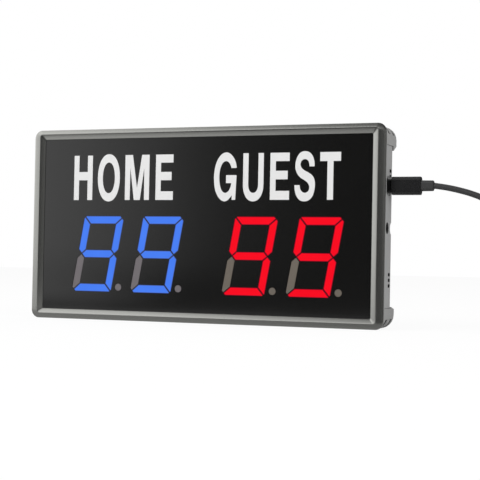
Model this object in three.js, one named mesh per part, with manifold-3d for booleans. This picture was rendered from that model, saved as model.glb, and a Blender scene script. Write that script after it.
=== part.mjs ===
// Electronic scoreboard: a slim two-team score display with four seven-segment digits,
// a USB power lead and a recessed power button. Millimetres, +Z up, the front faces -Y,
// and the origin is the middle of the base.
import * as THREE from 'three';
import { mergeVertices } from 'three/addons/utils/BufferGeometryUtils.js';
import Module from 'manifold-3d';

const wasm = await Module();
wasm.setup();

// Overall sizes
const boardWidth = 226;
const boardHeight = 117;
const boardDepth = 27;
const bodyDepth = 18.6;
const midDrop = 0.9;
const seatGap = 0.3;
const overrun = 1;
const halfWidth = boardWidth / 2;
const halfHeight = boardHeight / 2;
const midHeight = halfHeight - midDrop;

// Front bezel: a thin frame whose crest stands between an outer band and an inner bevel
const rimDepth = 2.4;
const ledgeBack = 4.6;
const bandSide = 4.4;
const bandTop = 2.7;
const bevelWidth = 3.2;
const bevelDepth = 1.5;
const cornerRadius = 5;
const crestRadius = 1.6;
const windowRadius = 0.6;
const sideLand = 1.4;
const shoulderDepth = 0.92;
const shoulderInset = 0.92;
const cheekInsetShare = 0.09;
const cheekDepthShare = 0.62;
const ledgeThickness = 1.3;
const sideLedge = 10.4;
const endLedge = 5.4;
const cornerSteps = 6;
const windowInsetSide = bandSide + bevelWidth;
const windowInsetTop = bandTop + bevelWidth;
const windowWide = boardWidth - windowInsetSide * 2;
const windowTall = boardHeight - windowInsetTop * 2;

// Display panel: a sheet of black acrylic that lies in the bezel from the front
const panelThickness = 1.5;
const windowClearance = 0.1;

// Digits: seven-segment modules, two for each team, set out over the panel's window
const digitHeight = windowTall * 0.4392;
const digitWidth = windowWide * 0.1275;
const digitSlant = 0.178;
const segmentWidth = 4.6;
const segmentGap = 0.6;
const blunterCorner = 1.3;
const sharperCorner = 2.6;
const digitPitch = windowWide * 0.189;
const pairOffset = windowWide * 0.2362;
const pairShift = windowWide * 0.0103;
const digitMidHeight = windowInsetTop + windowTall * 0.328;
const pointRadius = 2.2;
const pointBeside = 0.95;
const pointLift = 2.9;
const pointAcross = digitWidth / 2 + pointBeside;
const pointDown = digitHeight / 2 - pointLift;
const pointSides = 20;
const faceStep = 0.1;
const webGap = 0.1;
const webThickness = 0.4;
const webMargin = 1;
const housingGap = 1.85;
const housingStandOff = 1.1;
const housingWidth = digitPitch - housingGap;
const housingHeight = (digitMidHeight - windowInsetTop - endLedge - housingStandOff) * 2;

// Rear shell: a shallow moulded tray with solid corners
const shellInset = 0.4;
const shellWall = 2;
const backWall = 1.8;
const backRound = 1.4;
const backRoundShare = 0.3;
const cornerBlock = 14.5;
const bossRadius = 2.7;
const backPanelInset = 22;
const backPanelTop = 17.6;
const backPanelRadius = 4;
const backPanelRecess = 0.5;
const ventLong = 4.8;
const ventTall = 2;
const ventRound = 0.8;
const ventSteps = 2;
const ventPitch = 3.2;
const ventOffset = halfHeight - 28.9;
const scallopReach = 2.9;
const scallopForward = 0.6;
const padFloor = 1.2;
const shellFront = rimDepth + seatGap;
const innerFront = ledgeBack + seatGap;
const rimInset = shellInset + shellWall + seatGap;
const cavityBack = bodyDepth - backWall;
const wallInside = halfWidth - shellInset - shellWall;
const roofInside = boardHeight - shellInset - shellWall;
const wallDeep = bodyDepth - innerFront;
const ventDepth = cavityBack - seatGap - ventLong / 2;
const scallopRadius = wallDeep * 0.2555;
const scallopDepth = bodyDepth - scallopForward;

// Circuit boards, both in one plane behind the digits
const boardPlane = innerFront + (cavityBack - innerFront) * 0.5946;
const pcbThickness = 1.6;
const boardFloor = boardPlane + pcbThickness;
const boardRoom = cavityBack - boardFloor;
const boardEdgeGap = 3.2;
const boardsApart = 1.8;
const boardBelow = 3;
const boardAbove = 6.6;
const controlBoardWide = 14;
const controlBoardDrop = 15.6;
const controlBoardRight = wallInside - boardEdgeGap;
const controlBoardLeft = controlBoardRight - controlBoardWide;
const controlBoardTop = boardHeight - cornerBlock - 1.5;
const controlBoardBottom = midHeight - controlBoardDrop;
const displayBoardLeft = windowInsetSide + sideLedge + boardsApart - halfWidth;
const displayBoardRight = controlBoardLeft - boardsApart;
const displayBoardBottom = digitMidHeight - housingHeight / 2 - boardBelow;
const displayBoardTop = digitMidHeight + housingHeight / 2 + boardAbove;
const solderGap = 0.1;

// Light-emitting chips, one pair behind each segment
const ledLength = 1.9;
const ledWidth = 1.2;
const ledHeight = 0.8;
const ledSpacingShare = 0.32;

// Plugs of the inner leads, which share the back of the control board with the radio
const leadPlug = { wide: 5.4, tall: 6, thick: boardRoom * 0.414 };
const linkPlug = { wide: 4, tall: 11, thick: boardRoom * 0.38 };
const leadPlugDrop = 11;
const linkLift = 0.4;
const leadPlugHeight = controlBoardTop - leadPlugDrop;
const linkHeight = midHeight + linkLift;

// Chips on the boards
const driverChip = { wide: 9, tall: 6.2, thick: boardRoom * 0.55 };
const driverChipHeight = digitMidHeight - driverChip.tall * 1.68;
const controllerChip = { wide: 7, tall: 7, thick: 1.2 };
const controllerChipHeight = midHeight + controllerChip.tall * 1.77;
const radioFloor = linkHeight + linkPlug.tall / 2;
const radioSpace = leadPlugHeight - leadPlug.tall / 2 - radioFloor;
const radioHeight = radioFloor + radioSpace * 0.532;
const radioBoard = { wide: 11, tall: radioSpace * 0.638, thick: boardRoom * 0.31 };
const radioCan = { wide: 7.6, tall: radioBoard.tall * 0.56, thick: boardRoom * 0.448 };
const buzzerRadius = 4.6;
const buzzerThickness = 3.9;
const buzzerHoleRadius = 0.9;
const buzzerHoleDepth = 1.2;
const buzzerDrop = 7;
const buzzerHeight = controlBoardTop - buzzerDrop;
const chipInset = 7.6;

// Corner bumpers: ribbed feet that wrap the corners and stand behind the flat back
const bumperReach = 11.9;
const bumperRound = 8;
const bumperWall = 2.3;
const bumperRearRound = 1.8;
const bumperEndRound = 1.3;
const endSlope = 6;
const grooveWidth = 4.6;
const groovePitch = 10.4;
const firstGroove = 10.4;
const grooveReach = 5.6;
const grooveCut = 1.3;
const upperFlange = 2.6;
const lowerFlange = 0.7;

// Case screws, one through each bumper into a post on the bezel
const screwInset = 7.2;
const postRadius = 2.7;
const postEnd = ledgeBack + (cavityBack - ledgeBack) * 0.386;
const screwRadius = 1.2;
const screwHeadRadius = 2.3;
const screwHeadHeight = 1.7;
const screwTip = 5.6;
const bumperFloor = 2;
const recessRadius = 2.7;
const driveRadius = 1;
const driveDepth = 1;
const headEdgeShare = 0.6;
const headCrownShare = 0.8;
const roundSides = 20;
const screwSides = 12;

// Board screws
const boardScrewRadius = 1;
const boardScrewHead = 1.9;
const boardScrewHeadHeight = 1.3;
const boardScrewLength = 4;
const displayScrews = [
  [displayBoardLeft + boardScrewHead * 2, displayBoardTop - boardScrewHead * 1.6],
  [pairShift, displayBoardTop - boardScrewHead * 1.6],
  [displayBoardRight - boardScrewHead * 2, displayBoardTop - boardScrewHead * 1.6],
  [pairShift, displayBoardBottom + boardScrewHead * 2],
];
const controlScrews = [
  [controlBoardLeft + boardScrewHead * 1.6, controlBoardTop - boardScrewHead * 1.6],
  [controlBoardLeft + boardScrewHead * 1.6, controlBoardBottom + boardScrewHead * 1.6],
];

// USB socket and its hole in the right-hand wall
const socketDrop = 19.3;
const socketHeight = controlBoardTop - socketDrop;
const socketLong = 9;
const socketShort = 3.3;
const socketLength = 7.4;
const socketWall = 0.28;
const socketFloor = 1;
const tongueLong = 6.6;
const tongueShort = 0.7;
const tongueLength = 4.4;
const socketRecess = 0.6;
const portTall = 10.8;
const portWide = 9.8;
const portRound = 2;
const portDepth = 0.7;
const ovalSteps = 6;

// Power button, its switch and its hole at mid-height
const buttonRadius = wallDeep * 0.2117;
const buttonSink = 0.2;
const buttonFlangeRadius = wallDeep * 0.248;
const buttonFlange = 0.8;
const buttonStemRadius = buttonRadius / 2;
const buttonTravel = 0.8;
const buttonDimple = 0.25;
const buttonRecessRadius = wallDeep * 0.248;
const buttonRecessDepth = 0.5;
const buttonDepth = innerFront + wallDeep * 0.2555;
const switchLength = 5.4;
const switchWidth = (boardPlane - solderGap - buttonDepth) * 2;
const switchTall = 6;
const plungerRadius = switchWidth / 4;
const plungerLength = 2.4;
const plungerProud = 1.2;

// Battery and its bracket in the space above the digits
const batteryThick = (cavityBack - ledgeBack) * 0.57;
const batteryRound = 1.6;
const bracketWide = 12;
const bracketThick = 0.9;
const bracketFoot = 6;
const bracketGap = 0.4;
const bracketHeadroom = 4.8;
const bracketReach = seatGap + bracketThick + bracketFoot;
const batteryWide = windowWide * 0.2941;
const batteryLeft = displayBoardLeft + cornerBlock;
const batteryBottom = displayBoardTop + bracketGap + bracketReach;
const batteryTall = roofInside - bracketHeadroom - bracketReach - batteryBottom;

// Inner leads
const wireRadius = leadPlug.thick * 0.583;
const wireSides = 6;
const wireSteps = 24;
const wireSpacing = wireRadius * 2 + seatGap;
const wireShares = [0, 0.06, 0.5, 0.94, 1];
const linkWide = 9;
const linkThick = 0.3;

// USB lead: the plug in the socket, its cord, and the far plug
const cordDiameter = 3.4;
const cordSides = 8;
const cordRunSteps = 44;
const plugStandOff = 2;
const plugLength = 17.8;
const plugTall = 10.4;
const plugThick = 6;
const plugRound = 1.7;
const plugShellLong = 8.2;
const plugShellShort = 2.36;
const plugShellWall = 0.3;
const plugShellInside = 6;
const noseWall = 0.4;
const reliefLength = 6;
const reliefTall = 6.2;
const reliefThick = 4.6;
const reliefSteps = [[0, 0.97], [0.06, 1], [0.35, 1], [0.7, 0.985], [0.93, 0.97], [1, 0.9]];

// Long coil of the spare cord, on the floor to the right of the board and in line with it
const coilStraight = 36;
const foldRadius = cordDiameter * 3;
const coilLayers = 3;
const turnsEach = 5 / 3;
const straightShare = 0.21;
const straightSteps = 2;
const foldSteps = 10;
const coilSides = 6;
const coilGap = 0.5;
const climbTurns = 0.5;
const landingShare = 0.07;
const coilBeside = 94.4;
const coilX = halfWidth + coilBeside;
const coilY = 7.3;
const tieThickness = 0.6;
const tieWidth = 7;
const tieBeside = 13;

// Far plug
const farPlugLength = 16;
const farPlugWide = 15.4;
const farPlugThick = 7.8;
const farShellLength = 12;
const farShellWide = 12;
const farShellThick = 4.5;
const farShellWall = 0.35;
const farShellSeat = 1.4;
const farReliefLength = 6;
const farReliefRadius = 2.9;
const farReliefEndRadius = 2.2;

// Tail between the coil and the far plug's strain relief
const farTailLength = 22;
const tailShares = [0, 0.1, 0.25, 0.4, 0.55, 0.7, 0.85, 1];

// Route of the cord from the strain relief to the floor, chosen by hand: how far it has gone
// across and forward from where it leaves the relief, and its height as a share of that place's
const cordRoute = [
  [7.2, 0.05, 0.9866],
  [14.2, 0, 0.9678],
  [21.2, -0.1, 0.9431],
  [27.7, -0.4, 0.9094],
  [33.2, -1.2, 0.8446],
  [36.5, -2.3, 0.7528],
  [37.4, -3.9, 0.6365],
  [37.4, -5.75, 0.4896],
  [37.4, -7.35, 0.355],
  [37.8, -8.25, 0.2387],
  [40.4, -8.55, 0.1371],
  [45.7, -8.5, 0.0637],
  [52.2, -8.1, 0.033],
];

const panelBack = bevelDepth + panelThickness;
const ledgeFront = ledgeBack - ledgeThickness;
const webFront = panelBack + webGap;
const webBack = webFront + webThickness;
const housingFront = webBack + webGap;
const socketDepth = boardPlane - solderGap - socketShort / 2;
const caseScrewHole = screwRadius + seatGap;
const boardScrewHole = boardScrewRadius + seatGap;

const scoreboard = new THREE.Group();
scoreboard.name = 'electronic_scoreboard';

const finishes = {
  bezel: [0x8a8b8d, 0.22, 0.85],
  panel: [0x141513, 0.12, 0],
  blue: [0x4a78ff, 0.4, 0],
  red: [0xff0a26, 0.4, 0],
  unlit: [0x6c6966, 0.5, 0],
  housing: [0x3a3b3d, 0.6, 0],
  shell: [0x939393, 0.5, 0],
  bumper: [0x8a8a8a, 0.7, 0],
  board: [0x1f5a3a, 0.5, 0],
  chip: [0x1c1c1e, 0.5, 0],
  led: [0xe8e2c8, 0.4, 0],
  tin: [0xc4c6c8, 0.3, 1],
  steel: [0x9a9c9e, 0.35, 1],
  dark: [0x242526, 0.45, 0],
  cell: [0x5c6f86, 0.45, 0.2],
  wire: [0xb02a22, 0.5, 0],
  cord: [0x333436, 0.5, 0],
  tie: [0x1d1d1f, 0.6, 0],
};

// Adds one named piece to the group, in one of the finishes above.
function place(name, geometry, finish) {
  const [color, roughness, metalness] = finishes[finish];
  const material = new THREE.MeshStandardMaterial({ color, roughness, metalness });
  const mesh = new THREE.Mesh(geometry, material);
  mesh.name = name;
  scoreboard.add(mesh);
  return mesh;
}

// Position along Y of a depth counted back from the bezel's crest.
function yAt(depth) {
  return depth - boardDepth / 2;
}

// Turns a geometry into a solid that can be joined and cut.
function solidOf(geometry) {
  geometry.deleteAttribute('normal');
  geometry.deleteAttribute('uv');
  const merged = mergeVertices(geometry);
  const mesh = new wasm.Mesh({
    numProp: 3,
    vertProperties: new Float32Array(merged.getAttribute('position').array),
    triVerts: new Uint32Array(merged.index.array),
  });
  return new wasm.Manifold(mesh);
}

// Turns a solid back into a geometry.
function geometryOf(solid) {
  const mesh = solid.getMesh();
  const geometry = new THREE.BufferGeometry();
  geometry.setAttribute('position', new THREE.BufferAttribute(mesh.vertProperties, 3));
  geometry.setIndex(new THREE.BufferAttribute(mesh.triVerts, 1));
  return geometry;
}

// An upright outline in X and Z, carried along Y between two depths.
function slab(shape, front, back, steps = cornerSteps) {
  const settings = { depth: back - front, bevelEnabled: false, curveSegments: steps };
  return new THREE.ExtrudeGeometry(shape, settings).rotateX(Math.PI / 2).translate(0, yAt(back), 0);
}

// A box between two X, two depths and two heights.
function block(left, right, front, back, bottom, top) {
  const box = new THREE.BoxGeometry(right - left, back - front, top - bottom);
  return box.translate((left + right) / 2, yAt((front + back) / 2), (bottom + top) / 2);
}

// A cylinder along Y between two depths.
function barrel(radius, x, z, front, back, sides = roundSides) {
  const body = new THREE.CylinderGeometry(radius, radius, back - front, sides);
  return body.translate(x, yAt((front + back) / 2), z);
}

// A screw's hole, recess or boss as a solid along Y, with few sides.
function screwBarrel(radius, x, z, front, back) {
  return solidOf(barrel(radius, x, z, front, back, screwSides));
}

// A cylinder along X between two places.
function crossBarrel(radius, depth, z, from, to, sides = roundSides) {
  const body = new THREE.CylinderGeometry(radius, radius, to - from, sides);
  return body.rotateZ(Math.PI / 2).translate((from + to) / 2, yAt(depth), z);
}

// A round-cornered rectangle as a shape in X and Z, standing on the base line.
function framedShape(insetSide, insetTop, radius) {
  const shape = new THREE.Shape();
  addFrame(shape, insetSide, insetTop, radius);
  return shape;
}

// Draws the round-cornered rectangle that lies a side and a top inset inside the board.
function addFrame(path, insetSide, insetTop, radius) {
  const x = halfWidth - insetSide;
  const low = insetTop;
  const high = boardHeight - insetTop;
  path.moveTo(-x + radius, low);
  path.absarc(x - radius, low + radius, radius, -Math.PI / 2, 0);
  path.absarc(x - radius, high - radius, radius, 0, Math.PI / 2);
  path.absarc(-x + radius, high - radius, radius, Math.PI / 2, Math.PI);
  path.absarc(-x + radius, low + radius, radius, Math.PI, Math.PI * 1.5);
  path.closePath();
}

// One ring of points round the board at a depth, with each corner an arc.
function ring(insetSide, insetTop, radius, depth) {
  const points = [];
  for (let corner = 0; corner < 4; corner += 1) {
    const right = corner === 0 || corner === 3;
    const upper = corner < 2;
    const cx = (right ? 1 : -1) * (halfWidth - insetSide - radius);
    const cz = halfHeight + (upper ? 1 : -1) * (halfHeight - insetTop - radius);
    for (let step = 0; step <= cornerSteps; step += 1) {
      const angle = (corner + step / cornerSteps) * Math.PI / 2;
      points.push([cx + radius * Math.cos(angle), yAt(depth), cz + radius * Math.sin(angle)]);
    }
  }
  return points;
}

// Skins a row of rings; a closed row makes a frame, an open one gets a flat cap at each end.
function skinned(rings, closed) {
  const count = rings[0].length;
  const index = [];
  const rows = closed ? rings.length : rings.length - 1;
  for (let row = 0; row < rows; row += 1) {
    const here = row * count;
    const next = ((row + 1) % rings.length) * count;
    for (let i = 0; i < count; i += 1) {
      const j = (i + 1) % count;
      index.push(here + i, next + i, here + j, here + j, next + i, next + j);
    }
  }
  if (!closed) {
    const last = (rings.length - 1) * count;
    for (let i = 1; i < count - 1; i += 1) {
      index.push(0, i, i + 1, last, last + i + 1, last + i);
    }
  }
  const geometry = new THREE.BufferGeometry();
  geometry.setAttribute('position', new THREE.Float32BufferAttribute(rings.flat(2), 3));
  geometry.setIndex(index);
  return geometry;
}

// A turned body about the Y axis from pairs of radius and distance, both ends on the axis.
function turned(profile, sides = roundSides) {
  const points = profile.map(([radius, along]) => new THREE.Vector2(radius, along));
  return new THREE.LatheGeometry(points, sides);
}

// The four corners as signs of X and of Z.
const corners = [[-1, -1], [1, -1], [1, 1], [-1, 1]];
const cornerNames = ['lower_left', 'lower_right', 'upper_right', 'upper_left'];

function cornerX(sign, inset) {
  return sign * (halfWidth - inset);
}

function cornerZ(sign, inset) {
  return halfHeight + sign * (halfHeight - inset);
}

// Front bezel with its four screw posts.
function makeBezel() {
  const cheekDepth = THREE.MathUtils.lerp(sideLand, shoulderDepth, cheekDepthShare);
  const cheekSide = bandSide * cheekInsetShare;
  const cheekTop = bandTop * cheekInsetShare;
  const profile = [
    ring(rimInset, rimInset, bumperRound - rimInset, ledgeBack),
    ring(rimInset, rimInset, bumperRound - rimInset, rimDepth),
    ring(0, 0, cornerRadius, rimDepth),
    ring(0, 0, cornerRadius, sideLand),
    ring(cheekSide, cheekTop, cornerRadius, cheekDepth),
    ring(shoulderInset, shoulderInset, cornerRadius - shoulderInset / 2, shoulderDepth),
    ring(bandSide, bandTop, crestRadius, 0),
    ring(windowInsetSide, windowInsetTop, windowRadius, bevelDepth),
    ring(windowInsetSide, windowInsetTop, windowRadius, ledgeFront),
    ring(windowInsetSide + sideLedge, windowInsetTop + endLedge, windowRadius, ledgeFront),
    ring(windowInsetSide + sideLedge, windowInsetTop + endLedge, windowRadius, ledgeBack),
  ];
  let bezel = solidOf(skinned(profile.reverse(), true));
  for (const [sx, sz] of corners) {
    const x = cornerX(sx, screwInset);
    const z = cornerZ(sz, screwInset);
    bezel = bezel.add(screwBarrel(postRadius, x, z, ledgeFront + ledgeThickness / 2, postEnd));
    bezel = bezel.subtract(screwBarrel(caseScrewHole, x, z, screwTip - seatGap, postEnd + overrun));
  }
  place('front_bezel', geometryOf(bezel), 'bezel');
}

// The seven segments of one digit, as points about the digit's middle before the slant.
function segmentOutlines() {
  const w = digitWidth / 2;
  const h = digitHeight / 2;
  const t = segmentWidth;
  const k = segmentGap / Math.SQRT2;
  // A level end bar: its outer corners are cut, one sharper than the other.
  const endBar = (left, right) => [
    [-w + left, h],
    [w - right, h],
    [w - (right + k) / 2, h - (right - k) / 2],
    [w - t - k, h - t],
    [-w + t + k, h - t],
    [-w + (left + k) / 2, h - (left - k) / 2],
  ];
  // An upright bar of the right-hand side, above the middle.
  const upright = (corner) => [
    [w - (corner - k) / 2, h - (corner + k) / 2],
    [w - t, h - t - k],
    [w - t, t / 2 + k],
    [w - t / 2, k],
    [w, t / 2 + k],
    [w, h - corner],
  ];
  const turn = (points) => points.map(([x, z]) => [-x, -z]);
  const flip = (points) => points.map(([x, z]) => [x, -z]);
  return {
    a: endBar(blunterCorner, sharperCorner),
    d: turn(endBar(blunterCorner, sharperCorner)),
    b: upright(sharperCorner),
    e: turn(upright(sharperCorner)),
    c: flip(upright(blunterCorner)),
    f: turn(flip(upright(blunterCorner))),
    g: [
      [-w + t / 2 + k, 0], [-w + t + k, t / 2], [w - t - k, t / 2],
      [w - t / 2 - k, 0], [w - t - k, -t / 2], [-w + t + k, -t / 2],
    ],
  };
}

// Moves each side of a convex outline outward by a distance.
function outset(points, distance) {
  const area = points.reduce((sum, [x, z], i) => {
    const [nx, nz] = points[(i + 1) % points.length];
    return sum + x * nz - nx * z;
  }, 0);
  const side = Math.sign(area);
  const lines = points.map(([x, z], i) => {
    const [nx, nz] = points[(i + 1) % points.length];
    const length = Math.hypot(nx - x, nz - z);
    const normal = [side * (nz - z) / length, -side * (nx - x) / length];
    return { normal, reach: normal[0] * x + normal[1] * z + distance };
  });
  return lines.map((line, i) => {
    const last = lines[(i + lines.length - 1) % lines.length];
    const cross = last.normal[0] * line.normal[1] - last.normal[1] * line.normal[0];
    return [
      (last.reach * line.normal[1] - line.reach * last.normal[1]) / cross,
      (line.reach * last.normal[0] - last.reach * line.normal[0]) / cross,
    ];
  });
}

// A segment's outline in its slanted place on the board, grown by a clearance.
function segmentPath(PathClass, outline, digitX, clearance) {
  const slanted = outline.map(([x, z]) => [digitX + x + digitSlant * z, digitMidHeight + z]);
  const grown = clearance > 0 ? outset(slanted, clearance) : slanted;
  return new PathClass(grown.map(([x, z]) => new THREE.Vector2(x, z)));
}

// The round decimal point beside a digit.
function pointPath(PathClass, digitX, clearance) {
  const path = new PathClass();
  path.absarc(digitX + pointAcross, digitMidHeight - pointDown, pointRadius + clearance, 0, Math.PI * 2);
  return path;
}

// Cuts one digit's segments and point out of a sheet's outline.
function cutDigit(shape, outlines, digitX) {
  for (const outline of Object.values(outlines)) {
    shape.holes.push(segmentPath(THREE.Path, outline, digitX, windowClearance));
  }
  shape.holes.push(pointPath(THREE.Path, digitX, windowClearance));
}

// X of the middle of each digit, left to right.
function digitPlaces() {
  return [-1, 1].flatMap((team) => [-1, 1].map(
    (place) => pairShift + team * pairOffset + place * digitPitch / 2,
  ));
}

// Black front panel with a window for every segment.
function makePanel(outlines) {
  const shape = framedShape(windowInsetSide + seatGap, windowInsetTop + seatGap, windowRadius);
  for (const digitX of digitPlaces()) {
    cutDigit(shape, outlines, digitX);
  }
  place('display_panel', slab(shape, bevelDepth, panelBack, pointSides / 4), 'panel');
}

// A rectangle about a digit's middle.
function digitPlate(digitX, wide, tall) {
  const left = digitX - wide / 2;
  const low = digitMidHeight - tall / 2;
  const shape = new THREE.Shape();
  shape.moveTo(left, low);
  shape.lineTo(left + wide, low);
  shape.lineTo(left + wide, low + tall);
  shape.lineTo(left, low + tall);
  shape.closePath();
  return shape;
}

// One digit: the housing with its light wells, and the diffuser whose bars fill the windows.
function makeDigit(number, digitX, outlines) {
  const steps = pointSides / 4;
  const housing = digitPlate(digitX, housingWidth, housingHeight);
  cutDigit(housing, outlines, digitX);
  place(`digit_housing_${number}`, slab(housing, housingFront, boardPlane - solderGap, steps), 'housing');
  const web = digitPlate(digitX, housingWidth - webMargin, housingHeight - webMargin);
  let diffuser = solidOf(slab(web, webFront, webBack));
  const front = bevelDepth + faceStep;
  for (const outline of Object.values(outlines)) {
    const bar = slab(segmentPath(THREE.Shape, outline, digitX, 0), front, webBack - webThickness / 2);
    diffuser = diffuser.add(solidOf(bar));
  }
  const point = slab(pointPath(THREE.Shape, digitX, 0), front, webBack - webThickness / 2, steps);
  place(`digit_diffuser_${number}`, geometryOf(diffuser.add(solidOf(point))), number < 3 ? 'blue' : 'red');
}

// Light-emitting chips on the display board, a pair behind each segment and one behind each point.
function addLeds(board, outlines) {
  let body = board;
  const front = boardPlane - ledHeight;
  const chipAt = (x, z) => solidOf(block(
    x - ledLength / 2, x + ledLength / 2, front, boardPlane + pcbThickness / 2,
    z - ledWidth / 2, z + ledWidth / 2,
  ));
  for (const digitX of digitPlaces()) {
    for (const outline of Object.values(outlines)) {
      const box = new THREE.Box2().setFromPoints(outline.map(([x, z]) => new THREE.Vector2(x, z)));
      const size = box.getSize(new THREE.Vector2());
      const middle = box.getCenter(new THREE.Vector2());
      const level = size.x > size.y ? 1 : 0;
      for (const side of [-1, 1]) {
        const x = middle.x + side * level * size.x * ledSpacingShare;
        const z = middle.y + side * (1 - level) * size.y * ledSpacingShare;
        body = body.add(chipAt(digitX + x + digitSlant * z, digitMidHeight + z));
      }
    }
    body = body.add(chipAt(digitX + pointAcross, digitMidHeight - pointDown));
  }
  return body;
}

// A circuit board with screw holes.
function makeBoard(name, left, right, bottom, top, screws, dress = (board) => board) {
  let board = solidOf(block(left, right, boardPlane, boardFloor, bottom, top));
  for (const [x, z] of screws) {
    board = board.subtract(screwBarrel(boardScrewHole, x, z, boardPlane - overrun, boardFloor + overrun));
  }
  place(name, geometryOf(dress(board)), 'board');
}

// A flat chip on the front or the back of the boards.
function chipBlock(size, x, z, onBack) {
  const front = onBack ? boardFloor + solderGap : boardPlane - solderGap - size.thick;
  const left = x - size.wide / 2;
  const low = z - size.tall / 2;
  return block(left, left + size.wide, front, front + size.thick, low, low + size.tall);
}

// Chips, radio receiver and buzzer.
function makeChips() {
  [-1, 1].forEach((team, i) => {
    const chip = chipBlock(driverChip, pairShift + team * pairOffset, driverChipHeight, true);
    place(`digit_driver_chip_${i + 1}`, chip, 'chip');
  });
  const x = controlBoardLeft + chipInset;
  place('controller_chip', chipBlock(controllerChip, x, controllerChipHeight, false), 'chip');
  const radio = solidOf(chipBlock(radioBoard, x, radioHeight, true));
  const canFront = boardFloor + solderGap + radioBoard.thick - solderGap / 2;
  const can = block(
    x - radioCan.wide / 2, x + radioCan.wide / 2, canFront, canFront + radioCan.thick,
    radioHeight - radioCan.tall / 2, radioHeight + radioCan.tall / 2,
  );
  place('radio_receiver', geometryOf(radio.add(solidOf(can))), 'tin');
  const buzzerBack = boardPlane - solderGap;
  const buzzerFront = buzzerBack - buzzerThickness;
  const buzzerX = x + boardScrewHead;
  const holeEnd = buzzerFront + buzzerHoleDepth;
  const body = solidOf(barrel(buzzerRadius, buzzerX, buzzerHeight, buzzerFront, buzzerBack));
  const hole = solidOf(barrel(buzzerHoleRadius, buzzerX, buzzerHeight, buzzerFront - overrun, holeEnd));
  place('buzzer', geometryOf(body.subtract(hole)), 'dark');
}

// An oval with two straight sides, long along Z, as a shape in depth and height.
function ovalShape(long, short) {
  const reach = (long - short) / 2;
  const shape = new THREE.Shape();
  shape.absarc(0, reach, short / 2, 0, Math.PI);
  shape.absarc(0, -reach, short / 2, Math.PI, Math.PI * 2);
  shape.closePath();
  return shape;
}

// An outline in depth and height about a centre, carried along X between two places.
function sideways(shape, depth, z, from, to, steps = ovalSteps) {
  const settings = { depth: to - from, bevelEnabled: false, curveSegments: steps };
  const body = new THREE.ExtrudeGeometry(shape, settings);
  return body.rotateX(Math.PI / 2).rotateZ(Math.PI / 2).translate(from, yAt(depth), z);
}

// USB socket: an oval sleeve with a floor and a contact tongue.
function makeSocket() {
  const mouth = halfWidth - shellInset - socketRecess;
  const rear = mouth - socketLength;
  const outside = ovalShape(socketLong, socketShort);
  const sleeve = solidOf(sideways(outside, socketDepth, socketHeight, rear, mouth));
  const bore = sideways(
    ovalShape(socketLong - socketWall * 2, socketShort - socketWall * 2), socketDepth, socketHeight,
    rear + socketFloor, mouth + overrun,
  );
  const tongue = block(
    rear + socketFloor - socketWall, rear + socketFloor + tongueLength,
    socketDepth - tongueShort / 2, socketDepth + tongueShort / 2,
    socketHeight - tongueLong / 2, socketHeight + tongueLong / 2,
  );
  place('usb_socket', geometryOf(sleeve.subtract(solidOf(bore)).add(solidOf(tongue))), 'tin');
  return { mouth, rear };
}

// Power button, the switch behind it and the switch's plunger.
function makeButton() {
  const face = halfWidth - shellInset - buttonSink;
  const flangeOut = wallInside - seatGap;
  const flangeIn = flangeOut - buttonFlange;
  const stemEnd = flangeIn - buttonTravel - seatGap;
  const profile = [
    [0, stemEnd], [buttonStemRadius, stemEnd], [buttonStemRadius, flangeIn],
    [buttonFlangeRadius, flangeIn], [buttonFlangeRadius, flangeOut], [buttonRadius, flangeOut],
    [buttonRadius, face - buttonDimple], [buttonRadius - buttonDimple, face],
    [buttonRadius / 2, face], [0, face - buttonDimple],
  ];
  const button = turned(profile).rotateZ(-Math.PI / 2).translate(0, yAt(buttonDepth), midHeight);
  place('power_button', button, 'dark');
  const plungerOut = stemEnd - seatGap;
  const plungerIn = plungerOut - plungerLength;
  const plunger = crossBarrel(plungerRadius, buttonDepth, midHeight, plungerIn, plungerOut);
  place('switch_plunger', plunger, 'steel');
  const switchRight = plungerOut - plungerProud;
  const switchLeft = switchRight - switchLength;
  const body = block(
    switchLeft, switchRight, boardPlane - solderGap - switchWidth, boardPlane - solderGap,
    midHeight - switchTall / 2, midHeight + switchTall / 2,
  );
  const bore = crossBarrel(
    plungerRadius + seatGap, buttonDepth, midHeight,
    plungerIn - buttonTravel - seatGap, switchRight + overrun,
  );
  place('power_switch', geometryOf(solidOf(body).subtract(solidOf(bore))), 'dark');
}

// Outline of the bumpers' outside, closing in at the rear.
function bumperBlock() {
  const rounding = [0, 1 / 3, 2 / 3, 1].map((share) => {
    const angle = share * Math.PI / 2;
    const inset = bumperRearRound * (1 - Math.cos(angle));
    const depth = boardDepth - bumperRearRound * (1 - Math.sin(angle));
    return ring(inset, inset, bumperRound + inset / 2, depth);
  });
  return solidOf(skinned([ring(0, 0, bumperRound, shellFront), ...rounding], false));
}

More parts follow.
